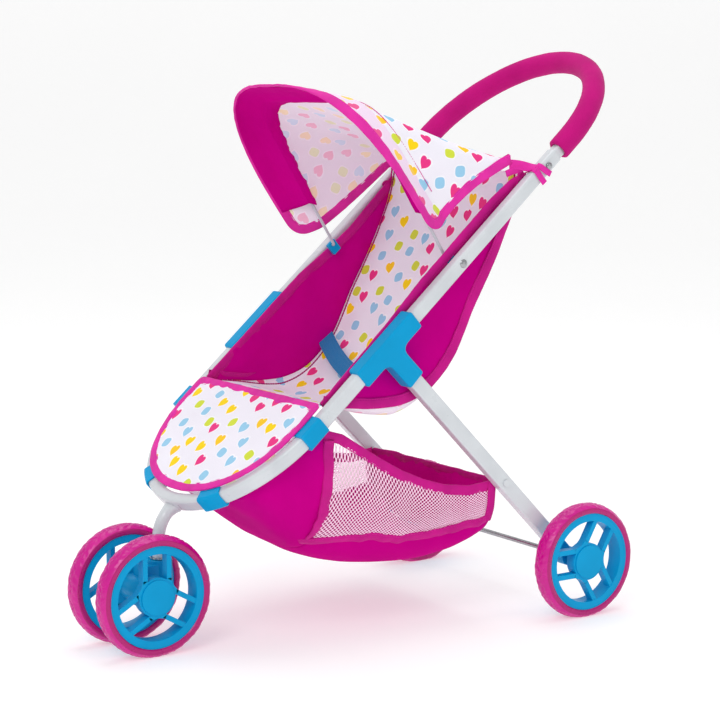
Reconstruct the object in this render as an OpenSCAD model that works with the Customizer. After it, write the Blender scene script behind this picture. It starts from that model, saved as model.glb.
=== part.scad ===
// Doll stroller: a tilted tube frame with a push handle, two rear wheels,
// a twin front caster, a hammock seat, a folding canopy and a basket.
// Millimetres. Front faces -Y, up is +Z, the floor is Z = 0.

/* [Frame] */
// Tilt of the rails above the floor, degrees
rail_tilt = 41.5; // [41:0.1:42]
// Height of the tube centre at the very front of the loop
loop_front_z = 138; // [137:0.5:140]
// Distance of the tube centre at the front of the loop ahead of the middle
loop_front_y = 188.8; // [188:0.1:190]
// Radius of the front loop and of the handle, at the tube centre
loop_r = 114; // [113.5:0.1:114.5]
// Depth of the tube, square to the rails
tube_h = 14; // [13.6:0.1:14]
// Width of the tube, across the stroller
tube_w = 12; // [11.6:0.1:12]
// Corner radius of the tube
tube_r = 3; // [2:0.5:3.5]
// Wall of every steel tube
tube_wall = 1; // [0.8:0.1:1.2]
// Length of each rail, from the middle of the loop to its open end
rail_end = 365; // [363:1:367]

/* [Handle] */
// Where the straight legs of the handle turn into the bow, along the rail
handle_bend = 501.5; // [501:0.5:502]
// Diameter of the foam grip
foam_d = 23; // [21:0.5:24]
// Where the foam grip starts, along the rail
foam_start = 486; // [485:0.5:488]
// Where the snap buttons stand, along the rail
button_u = 464; // [463:0.5:465]
// Diameter of a snap button
button_d = 6.4; // [6:0.1:6.6]

/* [Rear legs] */
// Where the legs meet the rails, along the rail
leg_u = 216; // [215:0.5:217]
// Width of a leg tube across the stroller
leg_w = 12; // [11:0.5:12]
// Depth of a leg tube
leg_h = 15; // [14:0.5:15]
// Length of the sleeve of a tee connector
tee_len = 80; // [76:1:84]
// Wall of a tee connector
tee_wall = 2.7; // [2.4:0.1:2.8]
// Reach of the leg socket of a tee connector
socket_len = 44; // [42:1:48]

/* [Wheels] */
// Diameter of every wheel
wheel_d = 115; // [114.5:0.5:115]
// Width of a tyre
tyre_w = 19.4; // [19:0.1:19.4]
// Radius where the tyre sits on the rim
rim_r = 48.2; // [47:0.1:49]
// Diameter of the axle rods
axle_d = 5; // [4.8:0.1:5]
// Distance of the rear axle behind the middle
rear_axle_y = 192.5; // [192:0.5:193]
// Centre plane of a rear wheel
rear_wheel_x = 140.4; // [140:0.1:141]
// Centre plane of a front wheel
front_wheel_x = 29; // [29:0.1:29.5]

/* [Caster] */
// Distance of the upright swivel axis ahead of the middle
swivel_y = 205; // [204.5:0.5:205.5]
// Lead of the front axle ahead of the swivel axis
caster_lead = 21.2; // [21:0.1:21.5]
// Diameter of the round neck tube
neck_d = 12; // [11.5:0.1:12]
// Diameter of the swivel pin
pin_d = 6; // [5.8:0.1:6]

/* [Canopy] */
// Where the canopy clips sit, along the rail
clip_u = 329; // [328:1:330]
// Diameter of the bow wire
wire_d = 3; // [2.8:0.1:3]
// Lean of the bow ahead of the rearward horizontal, degrees
bow_angle = 122; // [121:0.5:123]
// Height of the bow above its pivots
bow_rise = 176; // [174:1:177]
// Half the width of the bow
bow_half = 98; // [97.5:0.1:98]
// Bend radius of the bow's two upper corners
bow_corner = 40; // [36:1:44]

/* [Fabric] */
// Thickness of the sewn fabric
cloth = 1.2; // [1:0.1:1.3]
// Centre plane of each seat wall
seat_wall_x = 104.2; // [104.1:0.1:104.3]
// Lift of the seat walls' top edge above the rails' centre plane
seat_wall_lift = 8; // [7:0.5:8]
// Gap between a mesh panel and the fabric beside it, in degrees round the basket
mesh_inset = 1.5; // [1:0.5:2]

/* [Hidden] */
$fn = 64;

white_paint = [0.90, 0.91, 0.93];
sky_blue = [0.0, 0.63, 0.87];
magenta = [0.76, 0.0, 0.53];
hot_pink = [0.92, 0.2, 0.7];
tyre_pink = [0.85, 0.08, 0.6];
foam_pink = [0.8, 0.12, 0.53];
print_white = [0.95, 0.93, 0.97];
steel = [0.75, 0.76, 0.78];

gap = 0.1;
running = 0.05;
snug = 0.02;
screw_r = 1.6;
wheel_r = wheel_d / 2;
axle_r = axle_d / 2;
front_axle_y = -swivel_y - caster_lead;
rim_w = tyre_w - 2.2;
hub_r = 18.5;
hub_pocket_r = 7;
hub_pocket_floor = 4;
hub_face = 8;
bar_w = 4.8;
bar_gap = 19.6;

// A point [y, z] at distance u along the rails from the front of the loop,
// lifted square to the rails' centre plane
function rail_point(u, lift = 0) = [
  -loop_front_y + u * cos(rail_tilt) - lift * sin(rail_tilt),
  loop_front_z + u * sin(rail_tilt) + lift * cos(rail_tilt)
];

// The place at distance u along the rails; children's +Y runs up the rail
module on_rail(u = 0, lift = 0) {
  p = rail_point(u, lift);
  translate([0, p[0], p[1]]) rotate([rail_tilt, 0, 0]) children();
}

leg_top = rail_point(leg_u);
leg_run = rear_axle_y - leg_top[0];
leg_fall = wheel_r - leg_top[1];
leg_len = norm([leg_run, leg_fall]);
leg_angle = atan2(leg_fall, leg_run);

// The place at distance d down a leg; children's +Y runs down the leg
module on_leg(side, d = 0) {
  translate([side * loop_r, leg_top[0] + d * cos(leg_angle), leg_top[1] + d * sin(leg_angle)])
    rotate([leg_angle, 0, 0])
      children();
}

// Draws a plan in the YZ plane and runs it towards +X
module along_x(x) {
  translate([x, 0, 0]) rotate([90, 0, 90]) children();
}

module rounded_rect(w, h, r) {
  square([w - 2 * r, h], center = true);
  square([w, h - 2 * r], center = true);
  for (sx = [-1, 1], sy = [-1, 1]) {
    translate([sx * (w / 2 - r), sy * (h / 2 - r)]) circle(r, $fn = 32);
  }
}

// A straight bar of rounded section along +Y, from y = 0
module bar(length, w, h, r) {
  rotate([-90, 0, 0]) linear_extrude(length) rounded_rect(w, h, r);
}

// A straight tube along +Y, from y = 0
module tube(length, w, h, r, wall) {
  difference() {
    bar(length, w, h, r);
    translate([0, -1, 0]) bar(length + 2, w - 2 * wall, h - 2 * wall, r - wall);
  }
}

// Half a ring of rounded section in the XY plane, on the +Y side
module half_ring(radius, w, h, r) {
  rotate_extrude(angle = 180, $fn = 128) translate([radius, 0]) rounded_rect(w, h, r);
}

// ---------------------------------------------------------------- frame

front_frame_end = leg_u - loop_r - 0.5;

module front_frame_solid(inset, extra) {
  w = tube_w - 2 * inset;
  h = tube_h - 2 * inset;
  rotate([0, 0, 180]) half_ring(loop_r, w, h, tube_r - inset);
  for (side = [-1, 1]) {
    translate([side * loop_r, 0, 0]) bar(front_frame_end + extra, w, h, tube_r - inset);
  }
}

module front_frame() {
  color(white_paint) on_rail(loop_r) difference() {
    front_frame_solid(0, 0);
    front_frame_solid(tube_wall, 1);
  }
}

module rail(side) {
  u0 = leg_u + 0.5;
  color(white_paint) difference() {
    on_rail(u0) translate([side * loop_r, 0, 0])
      tube(loop_r + rail_end - u0, tube_w, tube_h, tube_r, tube_wall);
    on_rail(button_u) translate([side * loop_r, 0, 0]) rotate([0, side * 90, 0])
      cylinder(h = tube_w, d = button_d + 2 * running);
    on_rail(clip_u) translate([side * (loop_r - tube_w), 0, 0]) rotate([0, side * 90, 0])
      cylinder(h = 2 * tube_w, r = screw_r + gap, $fn = 32);
  }
}

module rail_left() { rail(1); }
module rail_right() { rail(-1); }

// ---------------------------------------------------------------- handle

handle_w = tube_w - 2 * tube_wall - 0.4;
handle_h = tube_h - 2 * tube_wall - 0.4;
handle_r = 1.8;
handle_foot = 420;

module handle_solid(inset, extra) {
  w = handle_w - 2 * inset;
  h = handle_h - 2 * inset;
  half_ring(loop_r, w, h, handle_r - inset);
  for (side = [-1, 1]) {
    translate([side * loop_r, handle_foot - handle_bend - extra, 0])
      bar(handle_bend - handle_foot + extra, w, h, handle_r - inset);
  }
}

module handle_tube() {
  color(white_paint) difference() {
    on_rail(handle_bend) difference() {
      handle_solid(0, 0);
      handle_solid(tube_wall, 1);
    }
    for (side = [-1, 1]) {
      on_rail(button_u) translate([side * loop_r, 0, 0]) rotate([0, side * 90, 0])
        cylinder(h = tube_w, d = button_d + 2 * running);
    }
  }
}

module foam_grip() {
  straight = handle_bend - foam_start;
  color(foam_pink) on_rail(handle_bend) difference() {
    union() {
      rotate_extrude(angle = 180, $fn = 128) translate([loop_r, 0]) circle(d = foam_d, $fn = 48);
      for (side = [-1, 1]) {
        translate([side * loop_r, -straight, 0]) rotate([-90, 0, 0])
          cylinder(h = straight, d = foam_d, $fn = 48);
      }
    }
    half_ring(loop_r, handle_w + gap, handle_h + gap, handle_r);
    for (side = [-1, 1]) {
      translate([side * loop_r, -straight - 1, 0])
        bar(straight + 1, handle_w + gap, handle_h + gap, handle_r);
    }
  }
}

// The button's shank runs through the two tube walls; its head is domed
button_inner = 2.2;
button_outer = tube_w / 2 + 1.6;

module snap_button(side) {
  color(steel) on_rail(button_u) translate([side * loop_r, 0, 0]) rotate([0, side * 90, 0]) {
    translate([0, 0, button_inner]) cylinder(h = button_outer - button_inner, d = button_d);
    translate([0, 0, button_outer]) intersection() {
      translate([0, 0, -button_d / 2]) sphere(button_d * 0.72);
      cylinder(h = 3, d = button_d);
    }
  }
}

module snap_button_left() { snap_button(1); }
module snap_button_right() { snap_button(-1); }

// A leaf spring bent to a V inside the handle tube, behind its button
module button_spring(side) {
  leaf = 0.5;
  leaf_w = 5;
  color(steel) on_rail(button_u - 26) translate([side * loop_r, 0, 0])
    scale([side, 1, 1]) translate([0, 0, -leaf_w / 2]) linear_extrude(leaf_w) polygon([
      [-3.1, 30], [-3.1, 4], [-2.4, 0.6], [2.0 - leaf, 22], [2.0 - leaf, 30],
      [2.0, 30], [2.0, 22], [-1.8, 0.4], [-2.2, -0.4], [-2.9, -0.4], [-3.6, 3.6], [-3.6, 30]
    ]);
}

module button_spring_left() { button_spring(1); }
module button_spring_right() { button_spring(-1); }

// ---------------------------------------------------------------- rear legs

tee_w = tube_w + 2 * tee_wall;
tee_h = tube_h + 2 * tee_wall;
socket_w = leg_w + 2 * tee_wall;
socket_h = leg_h + 2 * tee_wall;
leg_start = 14;
foot_start = leg_len - 20;
foot_r = 9.5;

module tee(side) {
  color(sky_blue) difference() {
    union() {
      on_rail(leg_u) translate([side * loop_r, -tee_len / 2, 0]) bar(tee_len, tee_w, tee_h, 3.5);
      on_leg(side) bar(socket_len, socket_w, socket_h, 3.5);
    }
    on_rail(leg_u) translate([side * loop_r, -tee_len / 2 - 1, 0])
      bar(tee_len + 2, tube_w + gap, tube_h + gap, tube_r);
    on_leg(side, leg_start) bar(socket_len, leg_w + gap, leg_h + gap, 2);
  }
}

module tee_left() { tee(1); }
module tee_right() { tee(-1); }

module leg(side) {
  color(white_paint) difference() {
    on_leg(side, leg_start) tube(foot_start - leg_start, leg_w, leg_h, 2, tube_wall);
    basket_screw_bore(side);
  }
}

module leg_left() { leg(1); }
module leg_right() { leg(-1); }

module leg_foot(side) {
  color(sky_blue) difference() {
    union() {
      on_leg(side, foot_start - 24)
        bar(26, leg_w - 2 * tube_wall - 0.2, leg_h - 2 * tube_wall - 0.2, 1);
      on_leg(side, foot_start) bar(leg_len - foot_start, leg_w, leg_h, 2);
      translate([0, rear_axle_y, wheel_r]) along_x(side * loop_r - leg_w / 2)
        cylinder(h = leg_w, r = foot_r);
    }
    translate([0, rear_axle_y, wheel_r]) along_x(side * loop_r - leg_w)
      cylinder(h = 2 * leg_w, r = axle_r + snug);
  }
}

module leg_foot_left() { leg_foot(1); }
module leg_foot_right() { leg_foot(-1); }

// ---------------------------------------------------------------- axles

axle_past_wheel = 5.7;
nut_r = 5.5;
nut_t = 1;

module rod(y, half) {
  translate([0, y, wheel_r]) along_x(-half) cylinder(h = 2 * half, r = axle_r);
}

module push_nuts(y, wheel_x) {
  for (side = [-1, 1]) {
    translate([side * (wheel_x + hub_pocket_floor + 0.4 + nut_t / 2), y, wheel_r])
      along_x(-nut_t / 2) difference() {
        cylinder(h = nut_t, r = nut_r);
        translate([0, 0, -1]) cylinder(h = nut_t + 2, r = axle_r + snug);
      }
  }
}

module rear_axle() { color(steel) rod(rear_axle_y, rear_wheel_x + axle_past_wheel); }
module rear_push_nuts() { color(steel) push_nuts(rear_axle_y, rear_wheel_x); }
module front_axle() { color(steel) rod(front_axle_y, front_wheel_x + axle_past_wheel); }
module front_push_nuts() { color(steel) push_nuts(front_axle_y, front_wheel_x); }

module rear_spacers() {
  x0 = loop_r + leg_w / 2 + 0.4;
  x1 = rear_wheel_x - tyre_w / 2 - 0.4;
  color(sky_blue) for (side = [-1, 1]) {
    translate([side * (x0 + x1) / 2, rear_axle_y, wheel_r]) along_x(-(x1 - x0) / 2) difference() {
      cylinder(h = x1 - x0, r = 5.5);
      translate([0, 0, -1]) cylinder(h = x1 - x0 + 2, r = axle_r + snug);
    }
  }
}

// ---------------------------------------------------------------- wheels

// The place of a wheel: children's +Z points out of the stroller
module at_wheel(side, x, y) {
  translate([side * x, y, wheel_r]) rotate([90, 0, side * 90]) children();
}

module tyre() {
  crown_r = 13;
  color(tyre_pink) rotate_extrude($fn = 128) intersection() {
    translate([rim_r, -tyre_w / 2]) square([wheel_r - rim_r + 1, tyre_w]);
    translate([wheel_r - crown_r, 0]) circle(crown_r, $fn = 96);
  }
}

// Bent bar whose middle hugs the hub on the plan's +X and whose arms run out to the ring
vee_bend_r = 20;
vee_arm = 35.5;
vee_tip = (bar_gap + bar_w) / 2 / sin(60);

function vee_side(off) = [
  for (a = [150:5:210])
    let (out = [cos(a), sin(a)], centre = [vee_tip + vee_bend_r / sin(60), 0])
    centre + (vee_bend_r + off) * out
];
function vee_end(off, a, turn) =
  [vee_tip, 0] + vee_arm * [cos(turn), sin(turn)] + off * [cos(a), sin(a)];

module rim_vee() {
  half = bar_w / 2;
  polygon(concat(
    [vee_end(half, 150, 60)], vee_side(half), [vee_end(half, 210, -60)],
    [vee_end(-half, 210, -60)], reversed(vee_side(-half)), [vee_end(-half, 150, 60)]
  ));
}

module rim(phase) {
  ring_r = 40.5;
  bar_back = -1;
  barrel_r = 8;
  color(sky_blue) difference() {
    union() {
      translate([0, 0, -rim_w / 2]) linear_extrude(rim_w) difference() {
        circle(rim_r - 0.05, $fn = 128);
        circle(ring_r, $fn = 128);
      }
      translate([0, 0, bar_back]) linear_extrude(hub_face - bar_back) {
        for (k = [0:2]) rotate(phase + 60 + 120 * k) rim_vee();
      }
      translate([0, 0, bar_back - 2]) cylinder(h = hub_face - bar_back + 2, r = hub_r);
      translate([0, 0, -tyre_w / 2]) cylinder(h = tyre_w / 2, r = barrel_r);
    }
    translate([0, 0, -tyre_w]) cylinder(h = 2 * tyre_w, r = axle_r + running);
    translate([0, 0, hub_pocket_floor]) cylinder(h = 10, r = hub_pocket_r);
  }
}

module hub_cap() {
  cap_r = 16.5;
  cap_plug = axle_past_wheel + 0.2;
  color(sky_blue) {
    translate([0, 0, cap_plug]) cylinder(h = hub_face - cap_plug, r = hub_pocket_r - gap);
    translate([0, 0, hub_face]) cylinder(h = 1.2, r = cap_r);
  }
}

front_phase = 90;
rear_phase = 60;

module tyre_rear_left() { at_wheel(1, rear_wheel_x, rear_axle_y) tyre(); }
module tyre_rear_right() { at_wheel(-1, rear_wheel_x, rear_axle_y) tyre(); }
module tyre_front_left() { at_wheel(1, front_wheel_x, front_axle_y) tyre(); }
module tyre_front_right() { at_wheel(-1, front_wheel_x, front_axle_y) tyre(); }
module rim_rear_left() { at_wheel(1, rear_wheel_x, rear_axle_y) rim(rear_phase); }
module rim_rear_right() { at_wheel(-1, rear_wheel_x, rear_axle_y) rim(rear_phase); }
module rim_front_left() { at_wheel(1, front_wheel_x, front_axle_y) rim(front_phase); }
module rim_front_right() { at_wheel(-1, front_wheel_x, front_axle_y) rim(front_phase); }
module hub_cap_rear_left() { at_wheel(1, rear_wheel_x, rear_axle_y) hub_cap(); }
module hub_cap_rear_right() { at_wheel(-1, rear_wheel_x, rear_axle_y) hub_cap(); }
module hub_cap_front_left() { at_wheel(1, front_wheel_x, front_axle_y) hub_cap(); }
module hub_cap_front_right() { at_wheel(-1, front_wheel_x, front_axle_y) hub_cap(); }

// ---------------------------------------------------------------- caster

neck_wall = 1.2;
neck_bottom = 86;
neck_bend_z = 103;
neck_bend_r = 35;
neck_bend_angle = 58;
neck_bore_r = neck_d / 2 - neck_wall;
pin_r = pin_d / 2;
pin_top = 102;
pin_head_r = 4.6;
pin_head_top = 63.5;
housing_top = 84;
housing_half = 17.5;

module neck_solid(r, extra) {
  translate([0, -swivel_y, neck_bottom - extra])
    cylinder(h = neck_bend_z - neck_bottom + extra, r = r);
  translate([0, -swivel_y + neck_bend_r, neck_bend_z]) rotate([0, 0, 180]) rotate([90, 0, 90])
    rotate_extrude(angle = neck_bend_angle + extra, $fn = 96)
      translate([neck_bend_r, 0]) circle(r, $fn = 48);
}

module neck_tube() {
  color(white_paint) difference() {
    neck_solid(neck_d / 2, 0);
    neck_solid(neck_bore_r, 1);
    on_rail(loop_r) front_frame_solid(0, 0);
  }
}

module neck_plug() {
  color(white_paint) translate([0, -swivel_y, neck_bottom]) difference() {
    cylinder(h = neck_bend_z - neck_bottom, r = neck_bore_r - snug);
    translate([0, 0, -1]) cylinder(h = 30, r = pin_r + snug);
  }
}

module swivel_pin() {
  color(steel) translate([0, -swivel_y, 0]) {
    translate([0, 0, pin_head_top]) cylinder(h = pin_top - pin_head_top, r = pin_r);
    translate([0, 0, pin_head_top - 3]) cylinder(h = 3, r = pin_head_r);
  }
}

module swivel_washer() {
  color(steel) translate([0, -swivel_y, housing_top + 0.2]) difference() {
    cylinder(h = neck_bottom - housing_top - 0.2, r = 8);
    translate([0, 0, -1]) cylinder(h = 4, r = pin_r + snug);
  }
}

module caster_housing() {
  barrel_r = 12.5;
  boss_r = 12;
  block_half = 11;
  block_bottom = 48;
  color(sky_blue) difference() {
    union() {
      translate([0, -swivel_y, block_bottom + 6])
        cylinder(h = housing_top - block_bottom - 6, r = barrel_r);
      translate([0, front_axle_y, wheel_r]) along_x(-housing_half)
        cylinder(h = 2 * housing_half, r = boss_r);
      translate([-block_half, front_axle_y, block_bottom + 6])
        cube([2 * block_half, caster_lead, housing_top - block_bottom - 9]);
    }
    translate([0, -swivel_y, 0]) cylinder(h = 100, r = pin_r + running);
    translate([0, -swivel_y, 0]) cylinder(h = pin_head_top + 0.3, r = pin_head_r + 0.6);
    translate([0, front_axle_y, wheel_r]) along_x(-50) cylinder(h = 100, r = axle_r + snug);
  }
}

// ---------------------------------------------------------------- clips

clip_len = 25;
clip_wall = 1.8;
rail_clip_u = 108;
// The rail clips straddle the end of the bend, so they are a little wider inboard
bend_room = 1.4;
loop_clip_angle = 30;

module rail_clips() {
  color(sky_blue) for (side = [-1, 1]) {
    difference() {
      on_rail(rail_clip_u - clip_len / 2) translate([side * (loop_r - bend_room / 2), 0, 0])
        bar(clip_len, tube_w + 2 * clip_wall + bend_room, tube_h + 2 * clip_wall, 3);
      on_rail(loop_r) front_frame_solid(-gap, 0);
    }
  }
}

module loop_clips() {
  half_turn = clip_len / loop_r * 90 / PI;
  color(sky_blue) on_rail(loop_r) for (side = [-1, 1]) {
    rotate([0, 0, -90 + side * loop_clip_angle - half_turn])
      rotate_extrude(angle = 2 * half_turn, $fn = 128) translate([loop_r, 0]) difference() {
        rounded_rect(tube_w + 2 * clip_wall, tube_h + 2 * clip_wall, 3);
        rounded_rect(tube_w + 2 * gap, tube_h + 2 * gap, tube_r);
      }
  }
}

clip_in = 99;
clip_out = 103.3;
clip_boss_r = 3.4;
clip_screw_in = 100.5;

module canopy_clip(side) {
  color(sky_blue) difference() {
    on_rail(clip_u) {
      translate([side * (clip_in + clip_out) / 2, 0, 2.25])
        cube([clip_out - clip_in, 10, 12.5], center = true);
      translate([side * clip_out, 0, 0]) rotate([0, side * 90, 0])
        cylinder(h = loop_r - tube_w / 2 - gap - clip_out, r = clip_boss_r);
    }
    on_rail(clip_u) translate([side * clip_screw_in, 0, 0]) rotate([0, side * 90, 0])
      cylinder(h = 20, r = screw_r + snug, $fn = 32);
    translate([0, pivot[0], pivot[1]]) along_x(side * clip_in - 6)
      cylinder(h = 12, r = wire_r + running, $fn = 32);
  }
}

module canopy_clip_left() { canopy_clip(1); }
module canopy_clip_right() { canopy_clip(-1); }

module canopy_screws() {
  outer = loop_r + tube_w / 2;
  color(steel) for (side = [-1, 1]) {
    on_rail(clip_u) rotate([0, side * 90, 0]) {
      translate([0, 0, clip_screw_in]) cylinder(h = outer + 0.1 - clip_screw_in, r = screw_r, $fn = 32);
      translate([0, 0, outer + 0.05]) intersection() {
        translate([0, 0, -3.2]) sphere(5.4);
        cylinder(h = 3, r = 4.2);
      }
    }
  }
}

// ---------------------------------------------------------------- canopy

// The bow's wire turns in the clips a little above their screws
wire_r = wire_d / 2;
pivot_lift = 5.5;
pivot = rail_point(clip_u, pivot_lift);
bow_leg = bow_rise - bow_corner;
bow_elbow = 2.2;

module bow_plane() {
  translate([0, pivot[0], pivot[1]]) rotate([bow_angle, 0, 0]) children();
}

module canopy_bow() {
  top_half = bow_half - bow_corner - wire_r;
  leg_x = bow_half - wire_r;
  color(white_paint) bow_plane() {
    for (side = [-1, 1]) {
      translate([side * leg_x, bow_elbow, 0]) rotate([-90, 0, 0])
        cylinder(h = bow_leg - bow_elbow, r = wire_r, $fn = 32);
      translate([side * (leg_x + bow_elbow), bow_elbow, 0]) rotate([0, 0, side > 0 ? 180 : -90])
        rotate_extrude(angle = 90, $fn = 64) translate([bow_elbow, 0]) circle(wire_r, $fn = 32);
      translate([side * (leg_x + bow_elbow + 2.1) - 2.1, 0, 0]) rotate([0, 90, 0])
        cylinder(h = 4.2, r = wire_r, $fn = 32);
    }
    translate([-top_half, bow_rise, 0]) rotate([0, 90, 0])
      cylinder(h = 2 * top_half, r = wire_r, $fn = 32);
    translate([top_half, bow_leg, 0]) rotate_extrude(angle = 90, $fn = 96)
      translate([bow_corner, 0]) circle(wire_r, $fn = 32);
    translate([-top_half, bow_leg, 0]) rotate([0, 0, 90]) rotate_extrude(angle = 90, $fn = 96)
      translate([bow_corner, 0]) circle(wire_r, $fn = 32);
  }
}

// Closed sheet of even thickness through a grid of points
function unit(v) = v / norm(v);
function grid_normal(g, i, j) =
  let (
    i0 = max(i - 1, 0), i1 = min(i + 1, len(g) - 1),
    j0 = max(j - 1, 0), j1 = min(j + 1, len(g[0]) - 1)
  )
  unit(cross(g[i1][j] - g[i0][j], g[i][j1] - g[i][j0]));

module sheet(g, t) {
  m = len(g);
  n = len(g[0]);
  upper = [for (i = [0:m - 1], j = [0:n - 1]) g[i][j] + grid_normal(g, i, j) * t / 2];
  lower = [for (i = [0:m - 1], j = [0:n - 1]) g[i][j] - grid_normal(g, i, j) * t / 2];
  k = m * n;
  top_faces = [
    for (i = [0:m - 2], j = [0:n - 2], h = [0, 1])
      h == 0 ? [i * n + j, (i + 1) * n + j, (i + 1) * n + j + 1]
             : [i * n + j, (i + 1) * n + j + 1, i * n + j + 1]
  ];
  low_faces = [for (f = top_faces) [k + f[0], k + f[2], k + f[1]]];
  rim_path = concat(
    [for (j = [0:n - 1]) j],
    [for (i = [1:m - 1]) i * n + n - 1],
    [for (j = [n - 2:-1:0]) (m - 1) * n + j],
    [for (i = [m - 2:-1:1]) i * n]
  );
  p = len(rim_path);
  side_faces = [
    for (a = [0:p - 1], h = [0, 1])
      let (v = rim_path[a], w = rim_path[(a + 1) % p])
      h == 0 ? [v, w, k + w] : [v, k + w, k + v]
  ];
  faces = concat(top_faces, low_faces, side_faces);
  polyhedron(points = concat(upper, lower), faces = [for (f = faces) [f[0], f[2], f[1]]]);
}

// One arch of the canopy: a squarish half ring from foot to crown, each [y, z]
function bulge(f, tuck) = 1 - tuck * pow(1 - f, 2);
function arch(foot, crown, half, squareness, tuck, steps) = [
  for (i = [0:steps])
    let (
      a = 180 * i / steps,
      f = pow(abs(sin(a)), 2 / squareness),
      x = half * sign(cos(a)) * pow(abs(cos(a)), 2 / squareness) * bulge(f, tuck)
    )
    [x, foot[0] + f * (crown[0] - foot[0]), foot[1] + f * (crown[1] - foot[1])]
];

arch_steps = 28;
hem_foot = [24, 378];
hem_crown = [-81, 522];
hem_half = 126;
cover_out = 3.4;
bow_foot = pivot + 24 * [cos(bow_angle), sin(bow_angle)];
bow_crown = pivot + bow_rise * [cos(bow_angle), sin(bow_angle)] + cover_out * [0.3, 0.95];
bow_cloth_half = bow_half + cover_out + 3;
rear_foot = [128, 445];
rear_crown = [138, 450];
rear_half = 104;

function visor_row(t) = arch(
  hem_foot + t * (bow_foot - hem_foot),
  hem_crown + t * (bow_crown - hem_crown),
  hem_half + t * (bow_cloth_half - hem_half),
  3 + 2.5 * t, 0.1 * (1 - t), arch_steps
);
visor_rows = [for (t = [0:0.25:1]) visor_row(t)];

module canopy_visor() {
  color(print_white) sheet(visor_rows, cloth);
}

// The lining lies a little inside the visor and stops short of the bow
module visor_lining() {
  lining_t = 0.8;
  lining_in = 1.4;
  rows = [for (t = [0.04, 0.25, 0.5, 0.75]) visor_row(t)];
  color(magenta) sheet([
    for (i = [0:len(rows) - 1])
      [for (j = [0:arch_steps]) rows[i][j] - lining_in * grid_normal(rows, i, j)]
  ], lining_t);
}

cover_start = 0.012;
side_lift = 7;

// The main sheet runs straight from the bow to the rear edge, its side hems bowed up a little
function cover_row(t) = arch(
  bow_foot + t * (rear_foot - bow_foot) + [0, side_lift * sin(180 * t)],
  bow_crown + t * (rear_crown - bow_crown),
  bow_cloth_half + t * (rear_half - bow_cloth_half),
  5.5 - 2 * t, 0, arch_steps
);

module canopy_cover() {
  rows = [cover_start, 0.14, 0.28, 0.42, 0.56, 0.7, 0.85, 1];
  color(print_white) sheet([for (t = rows) cover_row(t)], cloth);
}

tie_u = 452;
tie_len = 9;

module canopy_ties() {
  color(hot_pink) for (side = [-1, 1]) {
    on_rail(tie_u - tie_len / 2) translate([side * loop_r, 0, 0]) difference() {
      bar(tie_len, tube_w + 3, tube_h + 3, 3.5);
      translate([0, -1, 0]) bar(tie_len + 2, tube_w + 2 * gap, tube_h + 2 * gap, tube_r);
    }
  }
}

// ---------------------------------------------------------------- seat

// Side view of the seat strip, [y, z] from the top of the back to the front edge
seat_line = [
  [134, 440], [127, 406], [116, 380], [104, 355], [91, 332], [79, 311], [69, 290], [58, 269],
  [43, 249], [28, 233], [12, 222], [-6, 216], [-24, 217], [-42, 221], [-60, 226], [-91, 232]
];

function line_normal(p, i) =
  let (d = p[min(i + 1, len(p) - 1)] - p[max(i - 1, 0)])
  [-d[1], d[0]] / norm(d);
function shifted(p, off) = [for (i = [0:len(p) - 1]) p[i] + off * line_normal(p, i)];
function reversed(p) = [for (i = [len(p) - 1:-1:0]) p[i]];

strip_half = seat_wall_x - cloth / 2 - 0.3;

module seat_strip() {
  outline = concat(shifted(seat_line, cloth / 2), reversed(shifted(seat_line, -cloth / 2)));
  color(print_white) along_x(-strip_half) linear_extrude(2 * strip_half) polygon(outline);
}

module seat_wall(side) {
  upper = [for (u = [140, 448]) rail_point(u, seat_wall_lift)];
  outline = concat(upper, [for (i = [1:len(seat_line) - 1]) seat_line[i]]);
  color(magenta) difference() {
    along_x(side * seat_wall_x - cloth / 2) linear_extrude(cloth) polygon(outline);
    on_rail(clip_u) translate([side * (seat_wall_x - 3), 0, 0]) rotate([0, side * 90, 0])
      cylinder(h = 6, r = clip_boss_r + 0.3);
  }
}

module seat_wall_left() { seat_wall(1); }
module seat_wall_right() { seat_wall(-1); }

// The strap is sewn to both walls and bows forward between them
strap_w = 20;
strap_t = 1.2;
strap_side = [48, 264];
strap_middle = [22, 236];
strap_lean = [0.81, 0.586];

module lap_strap() {
  steps = 16;
  color(sky_blue) sheet([
    for (i = [0:steps])
      let (
        s = 2 * i / steps - 1,
        p = strap_middle + (strap_side - strap_middle) * pow(abs(s), 1.5),
        across = strap_w / 2 * strap_lean
      )
      [for (e = [-1, 0, 1]) [s * (strip_half - 0.2), p[0] + e * across[0], p[1] + e * across[1]]]
  ], strap_t);
}

// ---------------------------------------------------------------- footrest

footrest_lift = 9.8;
footrest_back = 133;
footrest_front = 7;
footrest_half = 109;

// Outline in the rails' plane, [x, u], a squarish half ring closed by a straight rear edge
function footrest_edge(steps) = [
  for (i = [0:steps])
    let (a = 180 * i / steps, m = 2 / 2.25)
    [
      footrest_half * sign(cos(a)) * pow(abs(cos(a)), m),
      loop_r - (loop_r - footrest_front) * pow(abs(sin(a)), m)
    ]
];

module footrest_panel() {
  rear_corners = [[-footrest_half, footrest_back], [footrest_half, footrest_back]];
  color(print_white) on_rail(0, footrest_lift) translate([0, 0, -cloth / 2])
    linear_extrude(cloth) polygon(concat(footrest_edge(36), rear_corners));
}

// ---------------------------------------------------------------- basket

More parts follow.
